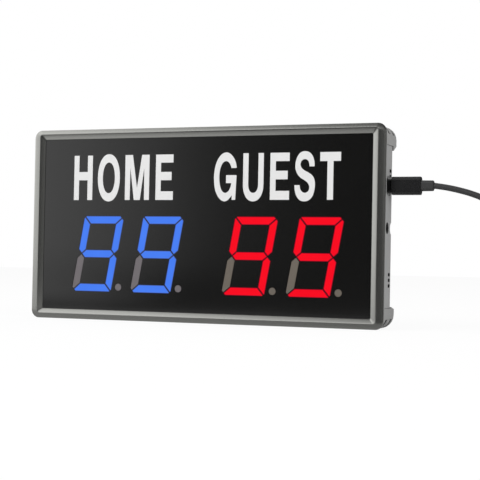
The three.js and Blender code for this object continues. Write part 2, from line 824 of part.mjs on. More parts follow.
// The space that a bumper takes in one corner, with a flange that reaches further behind the shell.
function bumperSpace([sx, sz], reach, front, back, round, flange = 0) {
  const side = new THREE.Shape();
  side.moveTo(front, -overrun);
  side.lineTo(back, -overrun);
  side.lineTo(back, reach - round);
  side.lineTo(back - round, reach - round / 2);
  if (flange > 0) {
    side.lineTo(bodyDepth + seatGap, reach + flange);
    side.lineTo(bodyDepth + seatGap, reach);
  } else {
    side.lineTo(back - round * endSlope, reach);
  }
  side.lineTo(front, reach);
  side.closePath();
  const span = reach + flange + overrun;
  const settings = { depth: span, bevelEnabled: false };
  const flat = new THREE.ExtrudeGeometry(side, settings).translate(0, 0, -overrun);
  // depth, height, across  to  across, depth, height
  const upright = flat.clone().applyMatrix4(new THREE.Matrix4().set(
    0, 0, 1, 0, 1, 0, 0, 0, 0, 1, 0, 0, 0, 0, 0, 1,
  ));
  const level = flat.clone().applyMatrix4(new THREE.Matrix4().set(
    0, 1, 0, 0, 1, 0, 0, 0, 0, 0, 1, 0, 0, 0, 0, 1,
  ));
  const lower = solidOf(upright).intersect(solidOf(turnedOver(level)));
  const across = sx > 0 ? lower.mirror([1, 0, 0]) : lower;
  const up = sz > 0 ? across.mirror([0, 0, 1]) : across;
  return up.translate([sx * halfWidth, yAt(0), halfHeight + sz * halfHeight]);
}

// Reverses the faces of a geometry that a mirror has turned inside out.
function turnedOver(geometry) {
  const flat = geometry.index ? geometry.toNonIndexed() : geometry;
  const place3 = flat.getAttribute('position');
  for (let i = 0; i < place3.count; i += 3) {
    const second = new THREE.Vector3().fromBufferAttribute(place3, i + 1);
    const third = new THREE.Vector3().fromBufferAttribute(place3, i + 2);
    place3.setXYZ(i + 1, third.x, third.y, third.z);
    place3.setXYZ(i + 2, second.x, second.y, second.z);
  }
  return flat;
}

// The inner core that the bumpers wrap.
function bumperCore(grow, back) {
  const inset = shellInset + bumperWall - grow;
  const radius = bumperRound - inset;
  return solidOf(slab(framedShape(inset, inset, radius), shellFront - overrun, back + grow));
}

// Corner bumpers with two grooves round each corner and a recess for the case screw.
function makeBumpers() {
  const outside = bumperBlock();
  const core = bumperCore(seatGap, bodyDepth);
  const headSeat = bodyDepth + seatGap + bumperFloor;
  corners.forEach((corner, number) => {
    const [sx, sz] = corner;
    let bumper = outside.intersect(
      bumperSpace(
        corner, bumperReach, shellFront, boardDepth, bumperEndRound, sz > 0 ? upperFlange : lowerFlange,
      ),
    ).subtract(core);
    const x = cornerX(sx, screwInset);
    const z = cornerZ(sz, screwInset);
    bumper = bumper.subtract(screwBarrel(recessRadius, x, z, headSeat, boardDepth + overrun));
    bumper = bumper.subtract(screwBarrel(caseScrewHole, x, z, bodyDepth - overrun, headSeat + overrun));
    const floor = framedShape(grooveCut, grooveCut, bumperRound - grooveCut);
    const xs = [cornerX(sx, -overrun), cornerX(sx, grooveReach)];
    const zs = [cornerZ(sz, -overrun), cornerZ(sz, grooveReach)];
    for (let groove = 0; groove < 2; groove += 1) {
      const middle = firstGroove + groove * groovePitch;
      const front = middle - grooveWidth / 2;
      const back = middle + grooveWidth / 2;
      const whole = block(Math.min(...xs), Math.max(...xs), front, back, Math.min(...zs), Math.max(...zs));
      const kept = solidOf(slab(floor, front - overrun, back + overrun));
      bumper = bumper.subtract(solidOf(whole).subtract(kept));
    }
    place(`corner_bumper_${cornerNames[number]}`, geometryOf(bumper), 'bumper');
  });
}

// Rear shell with its cavity, bosses, vents, port, button hole and finger scallops.
function makeShell() {
  const flat = (inset, depth) => ring(inset, inset, cornerRadius - shellInset, depth);
  let shell = solidOf(skinned([
    flat(shellInset, shellFront),
    flat(shellInset, bodyDepth - backRound),
    flat(shellInset + backRound * backRoundShare, bodyDepth - backRound * backRoundShare),
    flat(shellInset + backRound, bodyDepth),
  ], false));
  const inside = shellInset + shellWall;
  let cavity = solidOf(slab(
    framedShape(inside, inside, cornerRadius - inside), shellFront - overrun, cavityBack,
  ));
  for (const corner of corners) {
    cavity = cavity.subtract(bumperSpace(corner, cornerBlock, 0, boardDepth, bumperEndRound));
  }
  const padHalf = scallopRadius + padFloor;
  for (const side of [-1, 1]) {
    const inner = side * (wallInside - scallopReach);
    const outer = side * (wallInside + shellWall / 2);
    cavity = cavity.subtract(solidOf(block(
      Math.min(inner, outer), Math.max(inner, outer), scallopDepth - scallopRadius - padFloor,
      cavityBack + overrun, midHeight - padHalf, midHeight + padHalf,
    )));
  }
  const rimSpace = slab(
    framedShape(inside, inside, bumperRound - inside), shellFront - overrun, innerFront,
  );
  shell = shell.subtract(cavity).subtract(solidOf(rimSpace));
  const core = bumperCore(0, bodyDepth);
  for (const corner of corners) {
    const space = bumperSpace(corner, bumperReach + seatGap, shellFront - overrun, boardDepth, 0);
    shell = shell.subtract(space.subtract(core));
    const x = cornerX(corner[0], screwInset);
    const z = cornerZ(corner[1], screwInset);
    const postHole = screwBarrel(postRadius + seatGap, x, z, shellFront - overrun, postEnd + seatGap);
    const screwHole = screwBarrel(caseScrewHole, x, z, postEnd, bodyDepth + overrun);
    shell = shell.subtract(postHole).subtract(screwHole);
  }
  shell = addBosses(shell);
  shell = cutSides(shell);
  const field = framedShape(backPanelInset, backPanelTop, backPanelRadius);
  shell = shell.subtract(solidOf(slab(field, bodyDepth - backPanelRecess, bodyDepth + overrun)));
  place('rear_shell', geometryOf(shell), 'shell');
}

// Bosses under the boards and the battery bracket, each with a pilot hole.
function addBosses(shell) {
  const addBoss = (body, [x, z], seat, underHead) => {
    const boss = screwBarrel(bossRadius, x, z, seat + seatGap, cavityBack + solderGap);
    const pilot = screwBarrel(boardScrewHole, x, z, seat, underHead + boardScrewLength + seatGap);
    return body.add(boss).subtract(pilot);
  };
  const boards = [...displayScrews, ...controlScrews];
  const raised = boards.reduce((body, at) => addBoss(body, at, boardFloor, boardPlane), shell);
  const strip = bracketSeat();
  return bracketScrews().reduce((body, at) => addBoss(body, at, strip, strip - bracketThick), raised);
}

// Vents, scallops, port and button hole in the side walls.
function cutSides(shell) {
  let body = shell;
  const outer = halfWidth + overrun;
  for (const side of [-1, 1]) {
    const span = (from, to) => (side > 0 ? [from, to] : [-to, -from]);
    for (const group of [-1, 1]) {
      for (const step of [-1, 0, 1]) {
        const z = midHeight + group * ventOffset + step * ventPitch;
        const [from, to] = span(wallInside - overrun, outer);
        const slot = roundedShape(ventLong, ventTall, ventRound);
        body = body.subtract(solidOf(sideways(slot, ventDepth, z, from, to, ventSteps)));
      }
    }
    const [from, to] = span(wallInside - scallopReach + padFloor, outer);
    body = body.subtract(solidOf(crossBarrel(scallopRadius, scallopDepth, midHeight, from, to)));
    const back = block(
      from, to, scallopDepth, bodyDepth + overrun, midHeight - scallopRadius, midHeight + scallopRadius,
    );
    body = body.subtract(solidOf(back));
  }
  const port = (shape, from) => solidOf(sideways(shape, socketDepth, socketHeight, from, outer));
  const hole = ovalShape(socketLong + seatGap * 2, socketShort + seatGap * 2);
  body = body.subtract(port(hole, wallInside - overrun));
  const around = roundedShape(portWide, portTall, portRound);
  body = body.subtract(port(around, halfWidth - shellInset - portDepth));
  body = body.subtract(solidOf(
    crossBarrel(buttonRadius + seatGap, buttonDepth, midHeight, wallInside - overrun, outer),
  ));
  const recess = crossBarrel(
    buttonRecessRadius, buttonDepth, midHeight, halfWidth - shellInset - buttonRecessDepth, outer,
  );
  return body.subtract(solidOf(recess));
}

// Depth of the back of the battery bracket's feet.
function bracketSeat() {
  return cavityBack - batteryThick / 2;
}

// Places of the two bracket screws.
function bracketScrews() {
  const x = batteryLeft + batteryWide / 2;
  const low = batteryBottom - seatGap - bracketThick - bracketFoot / 2;
  const high = batteryBottom + batteryTall + seatGap + bracketThick + bracketFoot / 2;
  return [[x - bracketWide / 4, high], [x + bracketWide / 4, low]];
}

// Battery pack and the bent strip that holds it to the back.
function makeBattery() {
  const back = cavityBack - seatGap;
  const front = back - batteryThick;
  const right = batteryLeft + batteryWide;
  const top = batteryBottom + batteryTall;
  const shape = roundedShape(batteryWide, batteryTall, batteryRound);
  const pouch = slab(shape, front, back).translate((batteryLeft + right) / 2, 0, (batteryBottom + top) / 2);
  place('battery_pack', pouch, 'cell');
  const x = batteryLeft + batteryWide / 2;
  const seat = bracketSeat();
  const left = x - bracketWide / 2;
  const over = block(
    left, left + bracketWide, front - seatGap - bracketThick, front - seatGap,
    batteryBottom - seatGap - bracketThick, top + seatGap + bracketThick,
  );
  let bracket = solidOf(over);
  for (const side of [-1, 1]) {
    const wallIn = side > 0 ? top + seatGap : batteryBottom - seatGap;
    const wallOut = wallIn + side * bracketThick;
    const foot = wallOut + side * bracketFoot;
    const leg = block(
      left, left + bracketWide, front - seatGap - bracketThick, seat,
      Math.min(wallIn, wallOut), Math.max(wallIn, wallOut),
    );
    const tab = block(
      left, left + bracketWide, seat - bracketThick, seat, Math.min(wallIn, foot), Math.max(wallIn, foot),
    );
    bracket = bracket.add(solidOf(leg)).add(solidOf(tab));
  }
  for (const [sx, sz] of bracketScrews()) {
    const hole = screwBarrel(boardScrewHole, sx, sz, seat - bracketThick - overrun, seat + overrun);
    bracket = bracket.subtract(hole);
  }
  place('battery_bracket', geometryOf(bracket), 'steel');
}

// A round tube along a smooth curve, its section drawn with a few sides.
function tube(curve, radius, sides, steps) {
  const section = new THREE.Shape();
  for (let i = 0; i < sides; i += 1) {
    const angle = (i / sides) * Math.PI * 2;
    const x = radius * Math.cos(angle);
    const y = radius * Math.sin(angle);
    if (i === 0) section.moveTo(x, y);
    else section.lineTo(x, y);
  }
  section.closePath();
  return new THREE.ExtrudeGeometry(section, { steps, extrudePath: curve, curveSegments: 1 });
}

// The battery's two wires and the flat link between the boards, with their plugs.
function makeLeads() {
  const startX = batteryLeft + batteryWide + seatGap;
  const endX = controlBoardLeft + chipInset - leadPlug.wide / 2 - seatGap;
  const depth = boardFloor + solderGap + wireRadius;
  [-1, 1].forEach((side, i) => {
    const z = leadPlugHeight + side * wireSpacing / 2;
    const points = wireShares.map((share) => new THREE.Vector3(
      startX + (endX - startX) * share, yAt(depth), z,
    ));
    const wire = tube(new THREE.CatmullRomCurve3(points), wireRadius, wireSides, wireSteps);
    place(`battery_wire_${i + 1}`, wire, 'wire');
  });
  place('battery_plug', chipBlock(leadPlug, controlBoardLeft + chipInset, leadPlugHeight, true), 'led');
  const leftPlug = displayBoardRight - linkPlug.wide;
  const rightPlug = controlBoardLeft + linkPlug.wide;
  place('link_plug_left', chipBlock(linkPlug, leftPlug, linkHeight, true), 'led');
  place('link_plug_right', chipBlock(linkPlug, rightPlug, linkHeight, true), 'led');
  const seat = boardFloor + solderGap + linkPlug.thick + solderGap;
  const strip = block(
    leftPlug - linkPlug.wide / 2, rightPlug + linkPlug.wide / 2, seat, seat + linkThick,
    linkHeight - linkWide / 2, linkHeight + linkWide / 2,
  );
  place('link_cable', strip, 'led');
}

// A pan-head screw along Y: the head's underside at a depth, the tip in front of it or behind it.
function screw(x, z, seat, length, radius, headRadius, headHeight, toFront) {
  const profile = [
    [0, -length], [radius, -length], [radius, 0], [headRadius, 0],
    [headRadius, headHeight * headEdgeShare], [headRadius * headCrownShare, headHeight],
    [driveRadius, headHeight], [driveRadius, headHeight - driveDepth], [0, headHeight - driveDepth],
  ];
  const body = turned(profile, screwSides);
  if (!toFront) body.rotateX(Math.PI);
  return body.translate(x, yAt(seat), z);
}

// Case, board and bracket screws.
function makeScrews() {
  const seat = bodyDepth + seatGap + bumperFloor + solderGap;
  corners.forEach(([sx, sz], i) => place(`case_screw_${i + 1}`, screw(
    cornerX(sx, screwInset), cornerZ(sz, screwInset), seat, seat - screwTip,
    screwRadius, screwHeadRadius, screwHeadHeight, true,
  ), 'steel'));
  const small = (x, z, underHead) => screw(
    x, z, underHead, boardScrewLength, boardScrewRadius, boardScrewHead, boardScrewHeadHeight, false,
  );
  [...displayScrews, ...controlScrews].forEach(([x, z], i) => {
    place(`board_screw_${i + 1}`, small(x, z, boardPlane - solderGap), 'steel');
  });
  bracketScrews().forEach(([x, z], i) => {
    place(`bracket_screw_${i + 1}`, small(x, z, bracketSeat() - bracketThick - solderGap), 'steel');
  });
}

// A round-cornered rectangle about the origin, wide by tall.
function roundedShape(wide, tall, radius) {
  const x = wide / 2 - radius;
  const y = tall / 2 - radius;
  const shape = new THREE.Shape();
  shape.absarc(x, -y, radius, -Math.PI / 2, 0);
  shape.absarc(x, y, radius, 0, Math.PI / 2);
  shape.absarc(-x, y, radius, Math.PI / 2, Math.PI);
  shape.absarc(-x, -y, radius, Math.PI, Math.PI * 1.5);
  shape.closePath();
  return shape;
}

// The plug in the socket: shell, moulded body and ribbed strain relief. Returns its far end.
function makeNearPlug(socket) {
  const bodyStart = halfWidth - shellInset + plugStandOff;
  const shellTip = socket.rear + socketFloor + (socketLength - socketFloor - plugShellInside);
  const noseStart = socket.mouth + seatGap;
  const shell = solidOf(sideways(
    ovalShape(plugShellLong, plugShellShort), socketDepth, socketHeight, shellTip, noseStart - solderGap,
  ));
  const bore = sideways(
    ovalShape(plugShellLong - plugShellWall * 2, plugShellShort - plugShellWall * 2),
    socketDepth, socketHeight, shellTip - overrun, socket.mouth - socketRecess,
  );
  place('usb_plug_shell', geometryOf(shell.subtract(solidOf(bore))), 'tin');
  const bodyEnd = bodyStart + plugLength;
  const grip = roundedShape(plugThick, plugTall, plugRound);
  const body = sideways(grip, socketDepth, socketHeight, bodyStart, bodyEnd, cornerSteps / 2);
  const nose = sideways(
    ovalShape(plugShellLong + noseWall * 2, plugShellShort + noseWall * 2), socketDepth, socketHeight,
    noseStart, bodyStart + noseWall,
  );
  place('usb_plug_body', geometryOf(solidOf(body).add(solidOf(nose))), 'dark');
  const start = bodyEnd + solderGap;
  const rings = reliefSteps.map(([share, width]) => {
    const x = start + reliefLength * share;
    return Array.from({ length: roundSides }, (unused, j) => {
      const angle = (j / roundSides) * Math.PI * 2;
      const y = yAt(socketDepth) + reliefThick / 2 * width * Math.cos(angle);
      return [x, y, socketHeight + reliefTall / 2 * width * Math.sin(angle)];
    });
  });
  place('usb_strain_relief', skinned(rings.reverse(), false), 'dark');
  return new THREE.Vector3(start + reliefLength + seatGap, yAt(socketDepth), socketHeight);
}

// Height of the middle of the cord where it lies in the coil's lowest layer.
function coilFloor() {
  return tieThickness + seatGap + cordDiameter / 2;
}

// Height of the top of the coil's highest layer.
function coilTop() {
  return coilFloor() + (coilLayers - 1) * (cordDiameter + coilGap) + cordDiameter / 2;
}

// A place on a long loop, a share of a turn after the start of its front straight.
function loopPlace(share, radius) {
  const half = share % 1 < 0.5 ? 1 : -1;
  const within = share % 0.5;
  if (within < straightShare) {
    return [half * coilStraight * (within / straightShare - 0.5), -half * radius];
  }
  const angle = Math.PI * ((within - straightShare) / (0.5 - straightShare) - 0.5);
  return [half * (coilStraight / 2 + radius * Math.cos(angle)), half * radius * Math.sin(angle)];
}

// The coil: in along the lowest layer, out along the next and in along the highest. It goes up
// a layer where it turns from one way to the other.
function coilPoints() {
  const pitch = cordDiameter + coilGap;
  const marks = [];
  for (let half = 0; half < turnsEach * coilLayers * 2; half += 1) {
    for (let i = 0; i < straightSteps; i += 1) {
      marks.push(half / 2 + (i / straightSteps) * straightShare);
    }
    for (let i = 0; i < foldSteps; i += 1) {
      marks.push(half / 2 + straightShare + (i / foldSteps) * (0.5 - straightShare));
    }
  }
  marks.push(turnsEach * coilLayers);
  return marks.filter((turn) => turn >= landingShare).map((turn) => {
    const layer = Math.min(Math.floor(turn / turnsEach + Number.EPSILON), coilLayers - 1);
    const within = turn - layer * turnsEach;
    const outward = layer % 2 === 1 ? within : turnsEach - within;
    let climb = 0;
    for (let i = 1; i < coilLayers; i += 1) {
      const past = turn - i * turnsEach;
      climb += THREE.MathUtils.smoothstep(past, -climbTurns / 2, climbTurns / 2);
    }
    const [x, y] = loopPlace(turn % 1, foldRadius + pitch * outward);
    return new THREE.Vector3(coilX + x, coilY + y, coilFloor() + climb * pitch);
  });
}

// Least distance between the coil's own strands, less one diameter.
function leastGap(points) {
  const reach = straightSteps + foldSteps;
  let least = Infinity;
  for (let i = 0; i < points.length; i += 1) {
    for (let j = i + reach; j < points.length; j += 1) {
      least = Math.min(least, points[i].distanceTo(points[j]));
    }
  }
  return least - cordDiameter;
}

// A tube whose rings are square to a chain of points, with a flat cap at each end.
function chainTube(points, radius, sides) {
  const up = new THREE.Vector3(0, 0, 1);
  const rings = points.map((point, i) => {
    const before = points[Math.max(i - 1, 0)];
    const after = points[Math.min(i + 1, points.length - 1)];
    const along = after.clone().sub(before).normalize();
    const across = new THREE.Vector3().crossVectors(along, up).normalize();
    const rise = new THREE.Vector3().crossVectors(across, along);
    return Array.from({ length: sides }, (unused, j) => {
      const angle = (j / sides) * Math.PI * 2;
      const offset = across.clone().multiplyScalar(radius * Math.cos(angle));
      offset.addScaledVector(rise, radius * Math.sin(angle));
      return point.clone().add(offset).toArray();
    });
  });
  return skinned(rings, false);
}

// Coil, tie, the run that reaches it and the tail that leaves it, ending in the far plug.
function makeCord(exit) {
  const turns = coilPoints();
  console.log(`coil: least gap to itself ${leastGap(turns).toFixed(2)} mm`);
  const inWay = new THREE.Vector3(1, 0, 0);
  const start = turns[0].clone().addScaledVector(inWay, -cordDiameter);
  const end = turns.at(-1).clone().addScaledVector(inWay, cordDiameter / 2);
  const coil = [start, ...turns, end];
  place('cord_coil', chainTube(coil, cordDiameter / 2, coilSides), 'cord');
  makeTie();
  const runEnd = start.clone().addScaledVector(inWay, -seatGap);
  const run = new THREE.CatmullRomCurve3([exit, ...runPoints(exit), runEnd], false, 'centripetal');
  const runPath = run.getSpacedPoints(cordRunSteps);
  place('cord_run', chainTube(squareEnds(runPath, inWay, inWay), cordDiameter / 2, cordSides), 'cord');
  const tailStart = end.clone().addScaledVector(inWay, seatGap);
  const plugHeight = coilTop() + seatGap + tieThickness + solderGap + farPlugThick / 2;
  const tailEnd = new THREE.Vector3(tailStart.x + farTailLength, tailStart.y, plugHeight);
  const tail = tailPoints(tailStart, tailEnd);
  place('cord_tail', chainTube(tail, cordDiameter / 2, cordSides), 'cord');
  makeFarPlug(tailEnd);
}

// Chosen points of the route from the strain relief to the floor and on to the coil.
function runPoints(exit) {
  return cordRoute.map(([x, y, share]) => new THREE.Vector3(exit.x + x, exit.y + y, exit.z * share));
}

// Adds one short straight step at each end, so the end faces are square to what they meet.
function squareEnds(points, startWay, endWay) {
  const first = points[0];
  const last = points.at(-1);
  const second = first.clone().addScaledVector(startWay, cordDiameter / 2);
  const beforeLast = last.clone().addScaledVector(endWay, -cordDiameter / 2);
  return [first, second, ...points.slice(1, -1), beforeLast, last];
}

// The tail rises from the coil's highest layer to the middle of the far plug.
function tailPoints(from, to) {
  return tailShares.map((share) => {
    const rise = THREE.MathUtils.smoothstep(share, 0, 1);
    return new THREE.Vector3(
      THREE.MathUtils.lerp(from.x, to.x, share), from.y, THREE.MathUtils.lerp(from.z, to.z, rise),
    );
  });
}

// The tie: a flat band round the whole coil, across its straights.
function makeTie() {
  const pitch = cordDiameter + coilGap;
  const spread = (foldRadius + turnsEach * pitch + seatGap) * 2 + cordDiameter;
  const rise = (coilLayers - 1) * pitch + cordDiameter + seatGap * 2;
  const edge = tieThickness * 2;
  const band = roundedShape(spread + edge, rise + edge, cordDiameter / 2 + tieThickness);
  const inner = new THREE.Path(roundedShape(spread, rise, cordDiameter / 2).getPoints(cornerSteps));
  band.holes.push(inner);
  const settings = { depth: tieWidth, bevelEnabled: false, curveSegments: cornerSteps };
  const tie = new THREE.ExtrudeGeometry(band, settings).translate(0, 0, -tieWidth / 2);
  tie.rotateX(Math.PI / 2).rotateZ(Math.PI / 2);
  tie.translate(coilX + tieBeside, coilY, tieThickness + rise / 2);
  place('cord_tie', tie, 'tie');
}

// The far plug lies on the tie, over the coil, with its shell pointing away from the board.
function makeFarPlug(tailEnd) {
  const reliefStart = tailEnd.x + seatGap;
  const relief = turned([
    [0, 0], [farReliefEndRadius, 0], [farReliefRadius, farReliefLength], [0, farReliefLength],
  ]).rotateZ(-Math.PI / 2).translate(reliefStart, tailEnd.y, tailEnd.z);
  place('far_strain_relief', relief, 'dark');
  const bodyStart = reliefStart + farReliefLength + solderGap;
  const lengthways = (shape, from, length) => new THREE.ExtrudeGeometry(
    shape, { depth: length, bevelEnabled: false, curveSegments: cornerSteps / 2 },
  ).rotateX(Math.PI / 2).rotateZ(Math.PI / 2).translate(from, tailEnd.y, tailEnd.z);
  const grip = roundedShape(farPlugWide, farPlugThick, plugRound);
  place('far_plug_body', lengthways(grip, bodyStart, farPlugLength), 'dark');
  const shellStart = bodyStart + farPlugLength + solderGap;
  const sleeve = roundedShape(farShellWide, farShellThick, farShellWall);
  const hollow = roundedShape(
    farShellWide - farShellWall * 2, farShellThick - farShellWall * 2, farShellWall / 2,
  );
  const shell = solidOf(lengthways(sleeve, shellStart, farShellLength));
  const bore = solidOf(lengthways(hollow, shellStart + farShellSeat, farShellLength));
  place('far_plug_shell', geometryOf(shell.subtract(bore)), 'tin');
}

const outlines = segmentOutlines();
makeBezel();
makePanel(outlines);
digitPlaces().forEach((digitX, i) => makeDigit(i + 1, digitX, outlines));
makeBoard(
  'display_board', displayBoardLeft, displayBoardRight, displayBoardBottom, displayBoardTop, displayScrews,
  (board) => addLeds(board, outlines),
);
makeBoard(
  'control_board', controlBoardLeft, controlBoardRight, controlBoardBottom, controlBoardTop, controlScrews,
);
makeChips();
const socket = makeSocket();
makeButton();
makeShell();
makeBumpers();
makeBattery();
makeLeads();
makeScrews();
makeCord(makeNearPlug(socket));

export default scoreboard;
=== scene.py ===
import math

import bpy
import numpy as np
from mathutils import Matrix


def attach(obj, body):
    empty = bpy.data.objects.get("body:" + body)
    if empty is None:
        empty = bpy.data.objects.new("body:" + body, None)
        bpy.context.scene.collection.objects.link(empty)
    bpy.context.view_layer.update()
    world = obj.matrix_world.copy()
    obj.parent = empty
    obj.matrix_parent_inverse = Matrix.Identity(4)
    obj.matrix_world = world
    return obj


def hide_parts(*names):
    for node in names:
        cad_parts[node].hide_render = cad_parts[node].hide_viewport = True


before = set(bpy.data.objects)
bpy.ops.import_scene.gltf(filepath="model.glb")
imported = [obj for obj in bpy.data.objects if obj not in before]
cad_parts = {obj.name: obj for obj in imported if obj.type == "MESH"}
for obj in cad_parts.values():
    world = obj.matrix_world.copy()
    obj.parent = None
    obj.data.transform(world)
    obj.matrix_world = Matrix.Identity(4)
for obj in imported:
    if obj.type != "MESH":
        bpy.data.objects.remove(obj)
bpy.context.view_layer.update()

# Camera. The board is seen a little from its right and almost level, with the picture turned
# about one degree, and the whole board and the start of its lead are in the square view.
MM = 0.001
picture_side = 480
focal_pixels = 1234.6
sensor_width = 36.0
yaw, pitch, roll = (math.radians(a) for a in (21.0, 1.084, 1.068))
camera_place = np.array([285.6, -688.5, 36.1]) * MM

ahead = np.array([-math.sin(yaw) * math.cos(pitch), math.cos(yaw) * math.cos(pitch), math.sin(pitch)])
level = np.array([math.cos(yaw), math.sin(yaw), 0.0])
above = np.cross(level, ahead)
to_right = level * math.cos(roll) + above * math.sin(roll)
to_top = above * math.cos(roll) - level * math.sin(roll)

camera_data = bpy.data.cameras.new("camera")
camera_data.sensor_fit = "HORIZONTAL"
camera_data.sensor_width = sensor_width
camera_data.lens = focal_pixels / picture_side * sensor_width
camera_data.clip_start = 0.01
camera_data.clip_end = 50.0
camera = bpy.data.objects.new("camera", camera_data)
turned = np.eye(4)
turned[:3, 0], turned[:3, 1], turned[:3, 2], turned[:3, 3] = to_right, to_top, -ahead, camera_place
camera.matrix_world = Matrix(turned.tolist())
bpy.context.scene.collection.objects.link(camera)
bpy.context.scene.camera = camera

# Power lead: 3.4 mm round cord with a satin rubber jacket. It leaves the plug's strain relief,
# hangs down to the floor beside the board and ends in a long three-layer coil and its far plug.
cord_diameter = 3.4
cord_exit = np.array([138.8, -3.274, 81.7])
cord_route = np.array([
    [7.2, 0.05, 0.9866], [14.2, 0.0, 0.9678], [21.2, -0.1, 0.9431], [27.7, -0.4, 0.9094],
    [33.2, -1.2, 0.8446], [36.5, -2.3, 0.7528], [37.4, -3.9, 0.6365], [37.4, -5.75, 0.4896],
    [37.4, -7.35, 0.355], [37.8, -8.25, 0.2387], [40.4, -8.55, 0.1371], [45.7, -8.5, 0.0637],
    [52.2, -8.1, 0.033],
])
coil_middle = np.array([207.4, 7.3])
coil_straight, fold_radius, coil_pitch = 36.0, 10.2, 3.9
coil_layers, turns_each, straight_share = 3, 5 / 3, 0.21
coil_landing, coil_climb, coil_floor = 0.105, 0.5, 2.6
run_steps, coil_steps, tail_steps = 200, 480, 30
joint_gap, tail_length, far_plug_height = 0.3, 22.0, 17.0
rings_turn = (192.0, 202.0)
jacket_sides = 18
jacket_colour = (0.039, 0.039, 0.04, 1)


class Flow:
    """A shader socket that is added to and multiplied as a number is, and makes the nodes it needs."""

    def __init__(self, tree, socket=None):
        self.tree = tree
        self.socket = socket

    def node(self, kind, settings=None, sockets=None, out=0):
        """One node of a kind: its settings first, then its sockets as values or as other flows."""
        made = self.tree.nodes.new("ShaderNode" + kind)
        for name, value in (settings or {}).items():
            if name == "stops":
                ramp = made.color_ramp.elements
                for i, (place, colour) in enumerate(value):
                    stop = ramp[i] if i < len(ramp) else ramp.new(place)
                    stop.position = place
                    stop.color = colour
            else:
                setattr(made, name, value)
        for name, value in (sockets or {}).items():
            if isinstance(value, Flow):
                self.tree.links.new(value.socket, made.inputs[name])
            else:
                made.inputs[name].default_value = value
        return Flow(self.tree, made.outputs[out] if len(made.outputs) else None)

    def maths(self, operation, first, second=0.0):
        """One Math node over two values or flows."""
        return self.node("Math", {"operation": operation}, {0: first, 1: second})

    def __add__(self, other):
        return self.maths("ADD", self, other)

    def __sub__(self, other):
        return self.maths("SUBTRACT", self, other)

    def __rsub__(self, other):
        return self.maths("SUBTRACT", other, self)

    def __mul__(self, other):
        return self.maths("MULTIPLY", self, other)

    def __truediv__(self, other):
        return self.maths("DIVIDE", self, other)

    def __rtruediv__(self, other):
        return self.maths("DIVIDE", other, self)

    __radd__ = __add__
    __rmul__ = __mul__

    def between(self, low, high):
        """0 where this is below low, 1 where it is above high, and a smooth step from one to the other."""
        return self.node("MapRange", {"interpolation_type": "SMOOTHSTEP"},
                         {"Value": self, "From Min": low, "From Max": high})

    def noise(self, place, scale, detail=3.0, roughness=0.5):
        """Even noise from 0 to 1 over a place, at a scale in waves for each metre."""
        return self.node("TexNoise", {}, {
            "Vector": place, "Scale": scale, "Detail": detail, "Roughness": roughness})

    def parts(self, place):
        """The three coordinates of a place."""
        split = self.node("SeparateXYZ", {}, {"Vector": place}).socket.node.outputs
        return [Flow(self.tree, split[axis]) for axis in "XYZ"]

    def colour_mix(self, share, first, second):
        """The first colour where share is 0, the second where it is 1."""
        return self.node("Mix", {"data_type": "RGBA"}, {0: share, 6: first, 7: second}, out=2)


def new_finish(name, build):
    """A material whose nodes come from build, which gets the tree's flow and the object's place."""
    material = bpy.data.materials.new(name)
    material.use_nodes = True
    material.node_tree.nodes.clear()
    flow = Flow(material.node_tree)
    place = flow.node("TexCoord", out="Object")
    flow.node("OutputMaterial", {}, {"Surface": build(flow, place)})
    return material


patch_waves, patch_detail = 140.0, 4.0
grain_detail, grain_strength = 2.0, 0.35
roughness_spread = 0.12


def moulded(flow, place, base, roughness, grain=9000.0, depth=0.00002, mottle=0.06, **extra):
    """A moulded or coated surface: slightly mottled colour and roughness over a fine grain."""
    patch = flow.noise(place, patch_waves, patch_detail)
    fine = flow.noise(place, grain, grain_detail)
    pale = tuple(min(c * (1 + mottle), 1.0) for c in base[:3]) + (1,)
    deep = tuple(c * (1 - mottle) for c in base[:3]) + (1,)
    bump = flow.node("Bump", {}, {"Height": fine, "Strength": grain_strength, "Distance": depth})
    return flow.node("BsdfPrincipled", {}, {
        "Base Color": flow.colour_mix(patch, deep, pale),
        "Roughness": roughness + (patch - 0.5) * roughness_spread,
        "Normal": bump, **extra})


def new_piece(name, points, faces, finish, slot, body="scoreboard", uv=None, smooth=True):
    """A mesh at the origin from points in millimetres and faces, which rides on a body."""
    mesh = bpy.data.meshes.new(name)
    mesh.from_pydata((np.asarray(points) * MM).tolist(), [], [list(map(int, f)) for f in faces])
    if uv is not None:
        layer = mesh.uv_layers.new(name="UVMap")
        corners = np.zeros(len(mesh.loops), dtype=np.int32)
        mesh.loops.foreach_get("vertex_index", corners)
        layer.data.foreach_set("uv", np.asarray(uv, dtype=np.float32)[corners].ravel())
    mesh.polygons.foreach_set("use_smooth", np.full(len(mesh.polygons), smooth))
    mesh.materials.append(finish)
    mesh.validate()
    piece = bpy.data.objects.new(name, mesh)
    bpy.context.scene.collection.objects.link(piece)
    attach(piece, body)
    return piece


def grid_faces(rows, columns, close_rows=False, close_columns=False):
    """Four-sided faces over a grid of points, closed round either way."""
    i = np.arange(rows if close_rows else rows - 1)[:, None]
    j = np.arange(columns if close_columns else columns - 1)[None, :]
    a = i * columns + j
    b = i * columns + (j + 1) % columns
    c = (i + 1) % rows * columns + (j + 1) % columns
    d = (i + 1) % rows * columns + j
    return np.stack([a, b, c, d], axis=-1).reshape(-1, 4)


